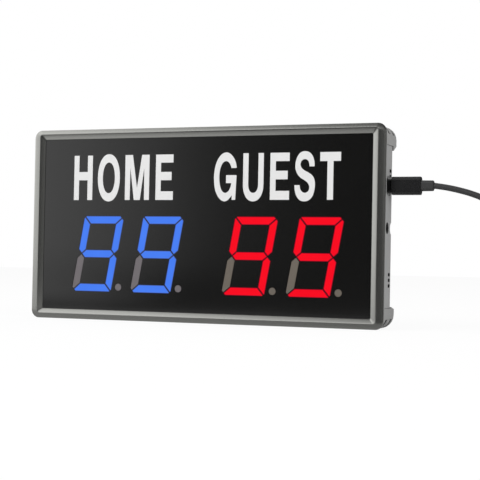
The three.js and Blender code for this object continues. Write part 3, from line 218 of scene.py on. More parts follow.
def smooth_path(knots, steps):
    """Centripetal Catmull-Rom curve through knots, cut into even steps by its length."""
    ends = np.vstack([2 * knots[0] - knots[1], knots, 2 * knots[-1] - knots[-2]])
    gaps = np.sqrt(np.linalg.norm(np.diff(ends, axis=0), axis=1))
    times = np.concatenate([[0], np.cumsum(gaps)])
    t = np.linspace(times[1], times[-2], steps * 8)
    k = np.clip(np.searchsorted(times, t, side="right") - 1, 1, len(knots) - 1)

    def blend(a, b, ta, tb):
        """The point between a, at time ta, and b, at time tb, for each time t."""
        share = ((t - ta) / (tb - ta))[:, None]
        return a * (1 - share) + b * share

    p = [ends[k + o] for o in (-1, 0, 1, 2)]
    s = [times[k + o] for o in (-1, 0, 1, 2)]
    first = [blend(p[i], p[i + 1], s[i], s[i + 1]) for i in range(3)]
    second = [blend(first[i], first[i + 1], s[i], s[i + 2]) for i in range(2)]
    points = blend(second[0], second[1], s[1], s[2])
    run = np.concatenate([[0], np.cumsum(np.linalg.norm(np.diff(points, axis=0), axis=1))])
    even = np.linspace(0, run[-1], steps)
    return np.stack([np.interp(even, run, points[:, axis]) for axis in range(3)], axis=1)


def step_up(value, low, high):
    """0 below low, 1 above high, and 3s^2 - 2s^3 of the share s between them."""
    share = np.clip((value - low) / (high - low), 0, 1)
    return share * share * (3 - 2 * share)


def tube(path, radius, sides, reference):
    """Rings along a path with closed ends: the path's point plus radius times (side cos t + rise sin t).
    The side is square to the way along and to a reference direction, and the rise is square to both."""
    along = np.gradient(path, axis=0)
    along /= np.linalg.norm(along, axis=1)[:, None]
    side = np.cross(along, reference)
    side /= np.linalg.norm(side, axis=1)[:, None]
    rise = np.cross(side, along)
    turn = np.linspace(0, 2 * math.pi, sides, endpoint=False)
    reach = np.broadcast_to(np.asarray(radius, dtype=float), (len(path),))[:, None, None]
    rings = (path[:, None] + reach * (side[:, None] * np.cos(turn)[None, :, None]
                                      + rise[:, None] * np.sin(turn)[None, :, None]))
    faces = grid_faces(len(path), sides, close_columns=True)[:, ::-1].tolist()
    faces += [list(range(sides)), list(range(len(path) * sides - 1, (len(path) - 1) * sides - 1, -1))]
    return rings.reshape(-1, 3), faces


def coil_line():
    """A long loop: straights joined by half circles whose radius goes in, out and in as it climbs."""
    turn = np.linspace(coil_landing, turns_each * coil_layers, coil_steps)
    layer = np.minimum((turn / turns_each + 1e-9).astype(int), coil_layers - 1)
    within = turn - layer * turns_each
    radius = fold_radius + coil_pitch * np.where(layer == 1, within, turns_each - within)
    climb = sum(step_up(turn - i * turns_each, -coil_climb / 2, coil_climb / 2)
                for i in range(1, coil_layers))
    half = np.where(turn % 1 < 0.5, 1.0, -1.0)
    part = turn % 0.5
    straight = part < straight_share
    angle = math.pi * ((part - straight_share) / (0.5 - straight_share) - 0.5)
    x = np.where(straight, coil_straight * (part / straight_share - 0.5),
                 coil_straight / 2 + radius * np.cos(angle))
    y = np.where(straight, -radius, radius * np.sin(angle))
    return np.stack([coil_middle[0] + half * x, coil_middle[1] + half * y,
                     coil_floor + climb * coil_pitch], axis=1)


def cord_line():
    """The lead's middle line: the hanging run, then the coil, then the tail that rises to the far plug."""
    coil = coil_line()
    bends = cord_exit * [1, 1, 0] + cord_route * [1, 1, cord_exit[2]]
    landing = coil[0] - [cord_diameter + joint_gap, 0, 0]
    run = smooth_path(np.vstack([cord_exit, bends, landing]), run_steps)
    share = np.linspace(0, 1, tail_steps)
    start = coil[-1] + [cord_diameter / 2, 0, 0]
    rise = start[2] + (far_plug_height - start[2]) * step_up(share, 0, 1)
    tail = np.stack([start[0] + joint_gap + share * tail_length, np.full(tail_steps, start[1]), rise],
                    axis=1)
    return np.vstack([run, coil, start[None], tail]), len(run)


jacket = new_finish("satin_jacket", lambda flow, place: moulded(
    flow, place, jacket_colour, 0.42, grain=6000.0, mottle=0.12, **{"Specular IOR Level": 0.6}))
cord_path, run_count = cord_line()
# The rings' reference direction is level on the hanging run and turns upright before the coil.
upright_share = step_up(cord_path[:, 0], *rings_turn)
upright_share[run_count:] = 1.0
cord_reference = np.stack([np.zeros(len(cord_path)), 1 - upright_share, upright_share], axis=1)
cord = new_piece("power_lead", *tube(cord_path, cord_diameter / 2, jacket_sides, cord_reference),
                 jacket, "cord")
cord_length = float(np.linalg.norm(np.diff(cord_path, axis=0), axis=1).sum()) * MM
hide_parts("cord_run", "cord_coil", "cord_tail")

# Front bezel: one moulded frame in dark grey metal lacquer. A sloping outer band rises to a thin
# crest, and a bevel falls from it to the display panel; the corners are arcs.
board_width, board_height, board_depth = 226.0, 117.0, 27.0
band_side, band_top, band_base = 4.4, 2.65, 3.2
window_side, window_top, bevel_depth = 7.6, 5.9, 1.5
corner_radius, crest_radius, window_radius = 5.0, 1.6, 0.6
rim_depth, rim_inset, rim_radius = 2.4, 2.7, 5.3
ledge_front, ledge_back, ledge_side, ledge_top = 3.3, 4.6, 18.0, 11.3
wall_front, shoulder, shoulder_radius = 1.4, 0.92, 4.54
corner_points = 14
lacquer_deep, lacquer_pale = (0.525, 0.527, 0.5, 1), (0.565, 0.567, 0.54, 1)


def rounded_profile(corners, cuts, steps=5):
    """Each corner of a closed row of profiles turns into a quadratic curve that starts and ends cut away."""
    corners = np.asarray(corners, dtype=float)
    before, after = np.roll(corners, 1, axis=0), np.roll(corners, -1, axis=0)
    t = np.linspace(0, 1, steps)[:, None]
    rows = []
    for here, last, following, cut in zip(corners, before, after, cuts):
        start = here + (last - here) * min(cut / np.hypot(*(last - here)[[0, 4]]), 0.45)
        end = here + (following - here) * min(cut / np.hypot(*(following - here)[[0, 4]]), 0.45)
        rows.append((1 - t) ** 2 * start + 2 * t * (1 - t) * here + t ** 2 * end)
    return np.vstack(rows)


def frame_rings(profile):
    """A round-cornered rectangle for each row: side, top and base inset, corner radius and depth. Each
    corner is its middle plus its radius times (cos t, sin t) over a quarter turn."""
    profile = np.asarray(profile, dtype=float)
    inset, top, base, radius, depth = (profile[:, i, None, None] for i in range(5))
    quarter = np.arange(4)[None, :, None]
    angle = (quarter + np.linspace(0, 1, corner_points)[None, None, :]) * math.pi / 2
    sx = np.where((quarter == 0) | (quarter == 3), 1, -1)
    upper = quarter < 2
    x = sx * (board_width / 2 - inset - radius) + radius * np.cos(angle)
    z = np.where(upper, board_height - top - radius, base + radius) + radius * np.sin(angle)
    y = np.broadcast_to(depth - board_depth / 2, x.shape)
    return np.stack([x, y, z], axis=-1).reshape(len(profile), -1, 3)


def lacquer(flow, place):
    """Dark metal lacquer: fine flakes that change the tone a little, with a trace of orange peel."""
    flake = flow.noise(place, scale=5200.0, detail=2.0, roughness=0.6)
    patch = flow.noise(place, scale=35.0, detail=2.0)
    peel = flow.noise(place, scale=900.0, detail=1.0)
    bump = flow.node("Bump", {}, {"Height": peel, "Strength": 0.05, "Distance": 0.00002})
    return flow.node("BsdfPrincipled", {}, {
        "Base Color": flow.colour_mix(flake, lacquer_deep, lacquer_pale),
        "Metallic": 0.98, "Roughness": 0.22 + patch * 0.05, "Normal": bump})


bezel_profile = rounded_profile([
    (rim_inset, rim_inset, rim_inset, rim_radius, ledge_back),
    (rim_inset, rim_inset, rim_inset, rim_radius, rim_depth),
    (0, 0, 0, corner_radius, rim_depth), (0, 0, 0, corner_radius, wall_front),
    (shoulder, shoulder, shoulder, shoulder_radius, shoulder),
    (band_side, band_top, band_base, crest_radius, 0),
    (window_side, window_top, window_top, window_radius, bevel_depth),
    (window_side, window_top, window_top, window_radius, ledge_front),
    (ledge_side, ledge_top, ledge_top, window_radius, ledge_front),
    (ledge_side, ledge_top, ledge_top, window_radius, ledge_back),
], cuts=[0.1, 0.1, 0.15, 0.45, 0.5, 0.62, 0.12, 0.1, 0.1, 0.1])
bezel_rings = frame_rings(bezel_profile)
bezel_finish = new_finish("gunmetal_lacquer", lacquer)
bezel = new_piece("bezel", bezel_rings.reshape(-1, 3),
                  grid_faces(*bezel_rings.shape[:2], close_rows=True, close_columns=True),
                  bezel_finish, "bezel")
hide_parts("front_bezel")

# Display panel: polished black acrylic with a window for each bar of each digit. The imported
# solid has the right shape, so it keeps it and takes the finish.
panel_front = 1.5
acrylic_black, dust_grey = (0.006, 0.006, 0.0058, 1), (0.012, 0.012, 0.0115, 1)


def dress(finish, *names):
    """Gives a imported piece's material slots a finish."""
    for name in names:
        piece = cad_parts[name]
        if not piece.material_slots:
            piece.data.materials.append(finish)
        for slot in piece.material_slots:
            slot.material = finish


def acrylic(flow, place):
    """Polished black acrylic with a trace of dust and faint waves."""
    dust = flow.noise(place, scale=2600.0, detail=2.0).between(0.62, 0.8)
    wave = flow.noise(place, scale=30.0, detail=2.0)
    bump = flow.node("Bump", {}, {"Height": wave, "Strength": 0.1, "Distance": 0.0001})
    return flow.node("BsdfPrincipled", {}, {
        "Base Color": flow.colour_mix(dust, acrylic_black, dust_grey),
        "Roughness": 0.09 + wave * 0.05, "Normal": bump, "Specular IOR Level": 1.0})


panel_finish = new_finish("black_acrylic", acrylic)
dress(panel_finish, "display_panel")

# Names above the digits: white print on the panel, in tall letters whose level strokes are
# thicker than their upright ones. They are the plain words for the two sides of a game.
print_thickness = 0.05
flat_low, flat_high = 73.4, 100.8
round_low, round_high = 72.5, 101.5
level_stroke, stem_width, round_stem = 5.1, 3.4, 3.3
curve_steps = 56


def closed_plate(outline):
    """A flat plate from one outline: its front, its back and the strip between them."""
    outline = np.asarray(outline, dtype=float)
    x, z = outline[:, 0], outline[:, 1]
    if np.sum(x * np.roll(z, -1) - np.roll(x, -1) * z) < 0:
        x, z = x[::-1], z[::-1]
    n = len(x)
    front = panel_front - print_thickness - board_depth / 2
    points = np.vstack([np.stack([x, np.full(n, y), z], axis=1) for y in (front, front + print_thickness)])
    faces = [list(range(n)), list(range(2 * n - 1, n - 1, -1))]
    faces += [[(i + 1) % n, i, n + i, n + (i + 1) % n] for i in range(n)]
    return points, faces


def band_plate(one, other, closed=False):
    """A flat plate between two edges with the same number of points, such as a letter's curved stroke."""
    one, other = np.asarray(one, dtype=float), np.asarray(other, dtype=float)
    n = len(one)
    front = panel_front - print_thickness - board_depth / 2
    rows = [(one, front), (other, front), (other, front + print_thickness), (one, front + print_thickness)]
    points = np.vstack([np.stack([edge[:, 0], np.full(n, y), edge[:, 1]], axis=1) for edge, y in rows])
    faces = grid_faces(4, n, close_rows=True, close_columns=closed).tolist()
    if not closed:
        faces += [[0, n, 2 * n, 3 * n], [4 * n - 1, 3 * n - 1, 2 * n - 1, n - 1]]
    return points, faces


def oval(centre, half, start, end, steps=40, fullness=2.15):
    """Points about a centre between two angles in degrees: each half width times the cosine or sine
    to the power 2 / fullness, with its sign kept."""
    angle = np.radians(np.linspace(start, end, steps))
    c, s = np.cos(angle), np.sin(angle)
    power = 2 / fullness
    return np.stack([centre[0] + half[0] * np.sign(c) * np.abs(c) ** power,
                     centre[1] + half[1] * np.sign(s) * np.abs(s) ** power], axis=1)


def placed_outline(curves, left, right, corners):
    """Smooth curves joined end to end, each with its row of square corners, between two edges."""
    rows = []
    for i, curve in enumerate(curves):
        flat = np.column_stack([curve[:, 0] * (right - left), np.zeros(len(curve)), curve[:, 1]])
        rows.append(smooth_path(flat, curve_steps)[:, [0, 2]])
        if i < len(corners):
            rows.append(corners[i] * [right - left, 1])
    return np.vstack(rows) + [left, 0]


def letter_h(left, right):
    """Two stems with a level bar between them."""
    a, b = left + stem_width, right - stem_width
    low, high = 85.6, 90.7
    return [closed_plate([
        (left, flat_high), (a, flat_high), (a, high), (b, high), (b, flat_high), (right, flat_high),
        (right, flat_low), (b, flat_low), (b, low), (a, low), (a, flat_low), (left, flat_low)])]


def letter_o(left, right):
    """The band between two ovals about one middle."""
    middle = ((left + right) / 2, (round_low + round_high) / 2)
    outer = ((right - left) / 2, (round_high - round_low) / 2)
    inner = (outer[0] - stem_width, outer[1] - level_stroke)
    return [band_plate(oval(middle, outer, 0, 351), oval(middle, inner, 0, 351), closed=True)]


def letter_m(left, right):
    """Half an outline, from the notch between the slants to the right foot, and its mirror image."""
    middle = (left + right) / 2
    half = (right - left) / 2
    shoulder_wide, foot_wide, inner_wide, point_half = 5.0, 3.3, 3.45, 2.0
    notch_height, inner_height = 80.7, 93.0
    right_half = [(half - shoulder_wide, flat_high), (half, flat_high), (half, flat_low),
                  (half - foot_wide, flat_low), (half - inner_wide, inner_height), (point_half, flat_low)]
    left_half = [(-x, z) for x, z in right_half[::-1]]
    outline = [(0, notch_height)] + right_half + left_half
    return [closed_plate([(middle + x, z) for x, z in outline])]


def letter_e(left, right):
    """A stem with three level arms, the middle one a little shorter."""
    stem, short = left + stem_width, right - 1.05
    lower, upper = flat_low + 5.2, flat_high - 4.9
    arm_low, arm_high = 85.3, 90.3
    return [closed_plate([
        (left, flat_low), (right, flat_low), (right, lower), (stem, lower), (stem, arm_low),
        (short, arm_low), (short, arm_high), (stem, arm_high), (stem, upper), (right, upper),
        (right, flat_high), (left, flat_high)])]


def letter_g(left, right):
    """An open ring as two smooth edges, x as a share of the letter's width, with a square bar."""
    outer = np.array([(1.0, 92.2), (0.969, 95.0), (0.859, 98.4), (0.702, 100.7), (0.533, 101.5),
                      (0.31, 100.15), (0.114, 96.0), (0.012, 89.9), (0.004, 84.8), (0.063, 79.1),
                      (0.212, 74.9), (0.361, 73.0), (0.475, 72.5), (0.616, 73.15), (0.729, 74.8),
                      (0.8, 76.1)])
    bar = np.array([(0.8, flat_low), (0.957, flat_low), (1.0, 88.0), (0.537, 88.0), (0.537, 83.3)])
    inner = np.array([(0.773, 83.3), (0.741, 80.9), (0.643, 78.5), (0.518, 77.5), (0.388, 78.3),
                      (0.29, 81.1), (0.243, 84.8), (0.243, 89.2), (0.302, 93.1), (0.408, 95.6),
                      (0.533, 96.3), (0.643, 95.7), (0.722, 94.2), (0.773, 92.2)])
    return [closed_plate(placed_outline([outer, inner], left, right, [bar]))]


def letter_u(left, right):
    """Two stems joined by the lower half of an oval band."""
    middle = (left + right) / 2
    half = (right - left) / 2
    turn = 82.5
    outer = np.vstack([(left, flat_high), oval((middle, turn), (half, turn - round_low), 180, 360, 30),
                       (right, flat_high)])
    inner_half, inner_tall = half - round_stem, turn - round_low - 5.0
    inner = np.vstack([(left + round_stem, flat_high),
                       oval((middle, turn), (inner_half, inner_tall), 180, 360, 30),
                       (right - round_stem, flat_high)])
    return [band_plate(outer, inner)]


def letter_s(left, right):
    """A double bend as its two smooth edges, x as a share of the letter's width."""
    upper = np.array([(0.966, 92.65), (0.953, 95.6), (0.872, 98.6), (0.723, 100.7), (0.511, 101.5),
                      (0.285, 100.8), (0.119, 98.2), (0.03, 94.1), (0.047, 90.9), (0.145, 88.1),
                      (0.298, 86.1), (0.477, 84.8), (0.626, 83.4), (0.711, 81.7), (0.723, 79.9),
                      (0.66, 78.2), (0.511, 77.4), (0.37, 78.1), (0.285, 79.6), (0.251, 81.9)])
    lower = np.array([(0.0, 81.9), (0.013, 79.1), (0.098, 75.7), (0.264, 73.2), (0.489, 72.5),
                      (0.711, 73.2), (0.881, 75.4), (0.974, 78.9), (1.0, 82.0), (0.97, 85.0),
                      (0.86, 87.45), (0.668, 89.15), (0.464, 90.5), (0.328, 92.0), (0.277, 93.6),
                      (0.311, 95.5), (0.396, 96.6), (0.511, 96.9), (0.621, 96.4), (0.698, 94.8),
                      (0.723, 92.65)])
    return [closed_plate(placed_outline([upper, lower], left, right, []))]


def letter_t(left, right):
    """A level bar on one stem."""
    middle, stem_half, bar_low = (left + right) / 2, 1.8, flat_high - 5.2
    a, b = middle - stem_half, middle + stem_half
    return [closed_plate([
        (left, flat_high), (right, flat_high), (right, bar_low), (b, bar_low), (b, flat_low),
        (a, flat_low), (a, bar_low), (left, bar_low)])]


def joined(parts):
    """Several lots of points and faces as one."""
    points, faces, count = [], [], 0
    for part_points, part_faces in parts:
        points.append(part_points)
        faces += [[count + i for i in face] for face in part_faces]
        count += len(part_points)
    return np.vstack(points), faces


print_finish = new_finish("white_print", lambda flow, place: moulded(
    flow, place, (0.72, 0.72, 0.715, 1), 0.4, mottle=0.02))
new_piece("name_left", *joined(
    letter_h(-84.8, -72.1) + letter_o(-68.4, -53.4) + letter_m(-49.8, -33.6) + letter_e(-29.3, -17.8)),
    print_finish, "white_print", smooth=False)
new_piece("name_right", *joined(
    letter_g(8.7, 23.0) + letter_u(27.1, 39.9) + letter_e(44.0, 55.8) + letter_s(59.0, 71.4)
    + letter_t(74.3, 86.7)), print_finish, "white_print", smooth=False)

# Digits: each seven-bar digit is a resin block whose bars fill the panel's windows. Six bars of
# each are lit, blue for one side and red for the other; the lower left bar and the point are dark.
window_wide, window_tall = board_width - 2 * window_side, board_height - 2 * window_top
digit_tall, digit_wide, digit_slant = window_tall * 0.4392, window_wide * 0.1275, 0.178
bar_width, bar_gap = 4.6, 0.6
blunt_corner, sharp_corner = 1.3, 2.6
digit_pitch, pair_offset, pair_shift = window_wide * 0.189, window_wide * 0.2362, window_wide * 0.0103
digit_middle = window_top + window_tall * 0.328
point_radius, point_beside, point_above = 2.2, 0.95, 2.9
bar_front, bar_back = 1.6, 3.05


def bar_outlines():
    """The seven bars about the digit's middle, before the slant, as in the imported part."""
    w, h, t, k = digit_wide / 2, digit_tall / 2, bar_width, bar_gap / math.sqrt(2)

    def end_bar(left, right):
        """The top bar, with its outer corners cut off by left and by right."""
        return np.array([(-w + left, h), (w - right, h), (w - (right + k) / 2, h - (right - k) / 2),
                         (w - t - k, h - t), (-w + t + k, h - t),
                         (-w + (left + k) / 2, h - (left - k) / 2)])

    def side_bar(corner):
        """The upper right bar, with its outer corner cut off."""
        return np.array([(w - (corner - k) / 2, h - (corner + k) / 2), (w - t, h - t - k),
                         (w - t, t / 2 + k), (w - t / 2, k), (w, t / 2 + k), (w, h - corner)])

    return {
        "a": end_bar(blunt_corner, sharp_corner), "d": -end_bar(blunt_corner, sharp_corner),
        "b": side_bar(sharp_corner), "e": -side_bar(sharp_corner),
        "c": side_bar(blunt_corner) * (1, -1), "f": side_bar(blunt_corner) * (-1, 1),
        "g": np.array([(-w + t / 2 + k, 0), (-w + t + k, t / 2), (w - t - k, t / 2),
                       (w - t / 2 - k, 0), (w - t - k, -t / 2), (-w + t + k, -t / 2)]),
    }


def inset(outline, distance):
    """Each corner of a counterclockwise outline moves in along (a + b) / (1 + a.b), for the normals
    a and b of its two sides, so that every side moves in by the same distance."""
    along = np.roll(outline, -1, axis=0) - outline
    along /= np.linalg.norm(along, axis=1)[:, None]
    after = np.stack([-along[:, 1], along[:, 0]], axis=1)
    before = np.roll(after, 1, axis=0)
    return outline + distance * (after + before) / (1 + np.sum(after * before, axis=1))[:, None]


def prism(outline, front, back, edge=0.12, rim=0.5):
    """An outline carried along Y with a small bevel at its front, a rim inside it, and both ends closed."""
    outline = np.asarray(outline, dtype=float)
    x, z = outline[:, 0], outline[:, 1]
    if np.sum(x * np.roll(z, -1) - np.roll(x, -1) * z) < 0:
        outline = outline[::-1]
    n = len(outline)
    rows = [(inset(outline, rim), front), (inset(outline, edge), front), (outline, front + edge),
            (outline, back)]
    points = np.vstack([np.stack([o[:, 0], np.full(n, d - board_depth / 2), o[:, 1]], axis=1)
                        for o, d in rows])
    faces = grid_faces(4, n, close_columns=True)[:, ::-1].tolist()
    faces += [list(range(n)), list(range(4 * n - 1, 3 * n - 1, -1))]
    return points, faces


def rim_uv(prisms):
    """A UV map that is 1 inside the rim of each prism and 0 on the rest of it."""
    inside = np.concatenate([np.repeat([1.0, 0.0, 0.0, 0.0], len(points) // 4) for points, faces in prisms])
    return np.stack([inside, inside], axis=1)


def glowing(low, high, edge):
    """Frosted resin lit from behind: an even glow with a soft grain that fades towards the edges."""
    def build(flow, place):
        """The finish's nodes. The UV map, 1 inside a bar's rim and 0 at its edge, mixes the glows."""
        core = flow.parts(flow.node("UVMap", {"uv_map": "UVMap"}))[0].between(0.0, 1.0)
        patch = flow.noise(place, scale=120.0, detail=2.0)
        fine = flow.noise(place, scale=4000.0, detail=2.0)
        bump = flow.node("Bump", {}, {"Height": fine, "Strength": 0.2, "Distance": 0.00002})
        return flow.node("BsdfPrincipled", {}, {
            "Base Color": tuple(c * 0.02 for c in low[:3]) + (1,), "Roughness": 0.5, "Normal": bump,
            "Specular IOR Level": 0.1,
            "Emission Color": flow.colour_mix(core, edge, flow.colour_mix(patch, low, high)),
            "Emission Strength": 1.0})
    return build


blue_finish = new_finish("blue_light", glowing(
    (0.058, 0.192, 0.85, 1), (0.072, 0.222, 0.93, 1), (0.07, 0.13, 0.46, 1)))
red_finish = new_finish("red_light", glowing(
    (0.9, 0.001, 0.012, 1), (0.97, 0.003, 0.016, 1), (0.46, 0.001, 0.02, 1)))
unlit_left, unlit_right = (new_finish(name, lambda flow, place, base=base: moulded(
    flow, place, base, 0.45, grain=5000.0)) for name, base in (
        ("unlit_resin_left", (0.15, 0.135, 0.143, 1)), ("unlit_resin_right", (0.14, 0.12, 0.098, 1))))
bars = bar_outlines()
digit_places = [pair_shift + team * pair_offset + side * digit_pitch / 2
                for team in (-1, 1) for side in (-1, 1)]
for number, digit_x in enumerate(digit_places, start=1):
    placed = {name: np.stack([digit_x + o[:, 0] + digit_slant * o[:, 1], digit_middle + o[:, 1]], axis=1)
              for name, o in bars.items()}
    dot = oval((digit_x + digit_wide / 2 + point_beside, digit_middle - digit_tall / 2 + point_above),
               (point_radius, point_radius), 0, 345, 24, fullness=2.0)
    lit = [prism(placed[name], bar_front, bar_back) for name in "abcdfg"]
    lit_piece = new_piece(f"digit_{number}_lit_bars", *joined(lit), blue_finish if number < 3 else red_finish,
                          "blue_segments" if number < 3 else "red_segments", uv=rim_uv(lit), smooth=False)
    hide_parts(f"digit_diffuser_{number}")
    dark = joined([prism(placed["e"], bar_front, bar_back), prism(dot, bar_front, bar_back)])
    new_piece(f"digit_{number}_unlit_bar_and_point", *dark, unlit_left if number < 3 else unlit_right,
              "unlit_segments", smooth=False)

# Rear shell: a shallow tray moulded in fine-textured grey plastic. The imported solid has its vents,
# socket hole and finger notches, so it keeps its shape and takes the finish, which paints shade near
# black on the walls inside the vents and holes. Each pair of numbers is where a soft step in that
# painted shade starts and ends.
port_height, button_height = 81.7, 57.6
outer_face, inner_face = (112.2, 112.45), (110.2, 110.4)
holes_front, holes_back = (-10.7, -10.5), (3.4, 4.2)
holes_low, holes_high = (13.5, 14.5), (102.5, 103.5)
port_round, port_end = (3.6, 4.6), (5.6, 5.8)
notch_half, notch_front = (3.8, 4.2), (-0.6, -0.2)
shell_deep, shell_pale, painted_hole_shade = (0.37, 0.37, 0.367, 1), (0.42, 0.42, 0.417, 1), (0.012, 0.012, 0.012, 1)


def shell_plastic(flow, place):
    """Grey moulding with painted shade, near black, below the surface of the side walls, in their vents and
    holes.
    """
    x, y, z = (part * (1 / MM) for part in flow.parts(place))
    away = flow.maths("ABSOLUTE", x)
    below = (1 - away.between(*outer_face)) * away.between(*inner_face)
    inside = y.between(*holes_front) * (1 - y.between(*holes_back)) * z.between(*holes_low) * (
        1 - z.between(*holes_high))
    from_port = flow.maths("ABSOLUTE", z - port_height)
    port_ends = from_port.between(*port_round) * (1 - from_port.between(*port_end)) * x.between(0, 1)
    notch = (1 - flow.maths("ABSOLUTE", z - button_height).between(*notch_half)) * y.between(*notch_front)
    # Painted shade: the surfaces within the side walls, in the vents and holes, turn near black where shade
    # falls, with grey kept round the socket's ends and in the notch at the button.
    dark = below * inside * (1 - port_ends) * (1 - notch)
    patch = flow.noise(place, patch_waves, patch_detail)
    fine = flow.noise(place, 3500.0, grain_detail)
    plain = flow.colour_mix(patch, shell_deep, shell_pale)
    return flow.node("BsdfPrincipled", {}, {
        "Base Color": flow.colour_mix(dark, plain, painted_hole_shade),
        "Roughness": 0.44 + patch * roughness_spread + dark * 0.3,
        "Normal": flow.node("Bump", {}, {
            "Height": fine, "Strength": grain_strength, "Distance": 0.00004})})


dress(new_finish("grey_moulding", shell_plastic), "rear_shell")

# Corner bumpers: soft grey mouldings, one round each corner, with two grooves and flat feet that
# stand behind the back of the shell. A screw holds each one.
bumper_reach, bumper_round, seam = 11.9, 8.0, 0.27
groove_middles, groove_half, groove_edge = (-3.1, 7.3), 2.3, 0.1
# Painted shade in the grooves: where it starts and ends out from each corner's middle, how strong it is, and
# its near-black colour.
painted_shade_starts, painted_shade_ends, painted_shade_share = (5.6, 6.0), (7.2, 7.8), 0.85
front_walls, touching = 5.3, 0.01
rubber_deep, rubber_pale, painted_shade_black = (0.335, 0.335, 0.33, 1), (0.39, 0.39, 0.385, 1), (0.03, 0.03, 0.03, 1)


def bumper_rubber(flow, place):
    """Grey rubber, a little mottled, with painted shade in the two grooves round each corner."""
    x, y, z = (part * (1 / MM) for part in flow.parts(place))
    across = flow.maths("MAXIMUM", flow.maths("ABSOLUTE", x) - (board_width / 2 - bumper_round), 0.0)
    upright = flow.maths("MAXIMUM", flow.maths("ABSOLUTE", z - board_height / 2)
                         - (board_height / 2 - bumper_round), 0.0)
    from_middle = flow.maths("SQRT", across * across + upright * upright)
    first, second = (1 - flow.maths("ABSOLUTE", y - middle).between(groove_half, groove_half + groove_edge)
                     for middle in groove_middles)
    # Painted shade: the two grooves turn near black round each corner, where shade falls in them.
    painted_groove_shade = (first + second) * from_middle.between(*painted_shade_starts) * (1 - from_middle.between(*painted_shade_ends))
    patch = flow.noise(place, patch_waves, patch_detail)
    fine = flow.noise(place, 2600.0, grain_detail)
    plain = flow.colour_mix(patch, rubber_deep, rubber_pale)
    return flow.node("BsdfPrincipled", {}, {
        "Base Color": flow.colour_mix(painted_groove_shade * painted_shade_share, plain, painted_shade_black),
        "Roughness": 0.56 + patch * roughness_spread,
        "Normal": flow.node("Bump", {}, {
            "Height": fine, "Strength": grain_strength, "Distance": 0.00005})})


def welded(node):
    """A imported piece's corners, each kept once, in millimetres, and its faces over them."""
    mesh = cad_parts[node].data
    points = np.zeros(len(mesh.vertices) * 3)
    mesh.vertices.foreach_get("co", points)
    kept, place_of = np.unique(np.round(points.reshape(-1, 3) / MM, 4), axis=0, return_inverse=True)
    corners = np.zeros(len(mesh.loops), dtype=int)
    mesh.loops.foreach_get("vertex_index", corners)
    faces = place_of.ravel()[corners].reshape(-1, 3)
    whole = (faces[:, 0] != faces[:, 1]) & (faces[:, 1] != faces[:, 2]) & (faces[:, 2] != faces[:, 0])
    return kept, faces[whole]


bumper_finish = new_finish("soft_bumper", bumper_rubber)
for row in ("lower", "upper"):
    for side_name in ("left", "right"):
        node = f"corner_bumper_{row}_{side_name}"
        points, faces = welded(node)
        # The walls round the shell's corner run on to meet the shell.
        walls = points[:, 1] < front_walls
        for axis, middle, half in ((0, 0.0, board_width / 2), (2, board_height / 2, board_height / 2)):
            away = points[:, axis] - middle
            end = walls & (np.abs(np.abs(away) - (half - bumper_reach)) < touching)
            points[end, axis] -= np.sign(away[end]) * seam
        bumper = new_piece(f"bumper_{row}_{side_name}", points, faces.tolist(), bumper_finish, "bumper",
                           smooth=False)
        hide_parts(node)

# Metal parts: the screws, the battery's bracket and the switch's plunger are zinc-plated steel.
# The socket, the shells of the lead's two plugs and the receiver's can are bright nickel. Each is
# turned or folded from sheet and plated.
def plated(flow, place, base, roughness):
    """Plated metal with fine marks."""
    marks = flow.noise(place, scale=1800.0, detail=4.0, roughness=0.7)
    return flow.node("BsdfPrincipled", {}, {
        "Base Color": flow.colour_mix(marks, tuple(c * 0.9 for c in base[:3]) + (1,), base),
        "Metallic": 1.0, "Roughness": roughness + (marks - 0.5) * 0.2})


zinc = new_finish("zinc_plate", lambda flow, place: plated(flow, place, (0.5, 0.51, 0.52, 1), 0.34))
nickel = new_finish("nickel_plate", lambda flow, place: plated(flow, place, (0.68, 0.68, 0.67, 1), 0.2))
dress(zinc, "switch_plunger", "battery_bracket", *[f"case_screw_{i}" for i in range(1, 5)],
      *[f"board_screw_{i}" for i in range(1, 7)], *[f"bracket_screw_{i}" for i in (1, 2)])
dress(nickel, "usb_socket", "usb_plug_shell", "far_plug_shell", "radio_receiver")

# Black mouldings: the far plug of the lead and its strain relief have a soft gloss, and the power
# button, its switch and the buzzer are matt. They are moulded parts that are pushed or clipped in.
black_moulding = new_finish("black_moulding", lambda flow, place: moulded(
    flow, place, (0.012, 0.012, 0.0125, 1), 0.27, grain=4200.0, **{"Specular IOR Level": 0.75}))
dress(black_moulding, "far_strain_relief", "far_plug_body")
dress(new_finish("matt_black", lambda flow, place: moulded(
    flow, place, (0.01, 0.01, 0.01, 1), 0.6, grain=3000.0, **{"Specular IOR Level": 0.15})),
    "power_button", "power_switch", "buzzer")

# Plug of the lead: a soft black overmould with rounded long edges and a narrower nose towards the
# board, and a short strain relief behind it, each moulded round the plug's metal shell and cord.
plug_middle = (-3.27, port_height)
section_steps = 8


def rounded_loft(rows):
    """Rounded rectangles square to X, each from its x, half depth, half height and corner radius, with
    both ends closed. Each corner is its middle plus its radius times (cos t, sin t)."""
    x, deep, tall, radius = (np.asarray(rows, dtype=float)[:, i, None, None] for i in range(4))
    quarter = np.arange(4)[None, :, None]
    angle = (quarter + np.linspace(0, 1, section_steps)[None, None, :]) * math.pi / 2
    sy = np.where((quarter == 0) | (quarter == 3), 1, -1)
    sz = np.where(quarter < 2, 1, -1)
    y = plug_middle[0] + sy * (deep - radius) + radius * np.cos(angle)
    z = plug_middle[1] + sz * (tall - radius) + radius * np.sin(angle)
    rings = np.stack([np.broadcast_to(x, y.shape), y, z], axis=-1).reshape(len(rows), -1, 3)
    count = rings.shape[1]
    faces = grid_faces(len(rows), count, close_columns=True).tolist()
    faces += [list(range(count))[::-1], list(range((len(rows) - 1) * count, len(rows) * count))]
    return rings.reshape(-1, 3), faces


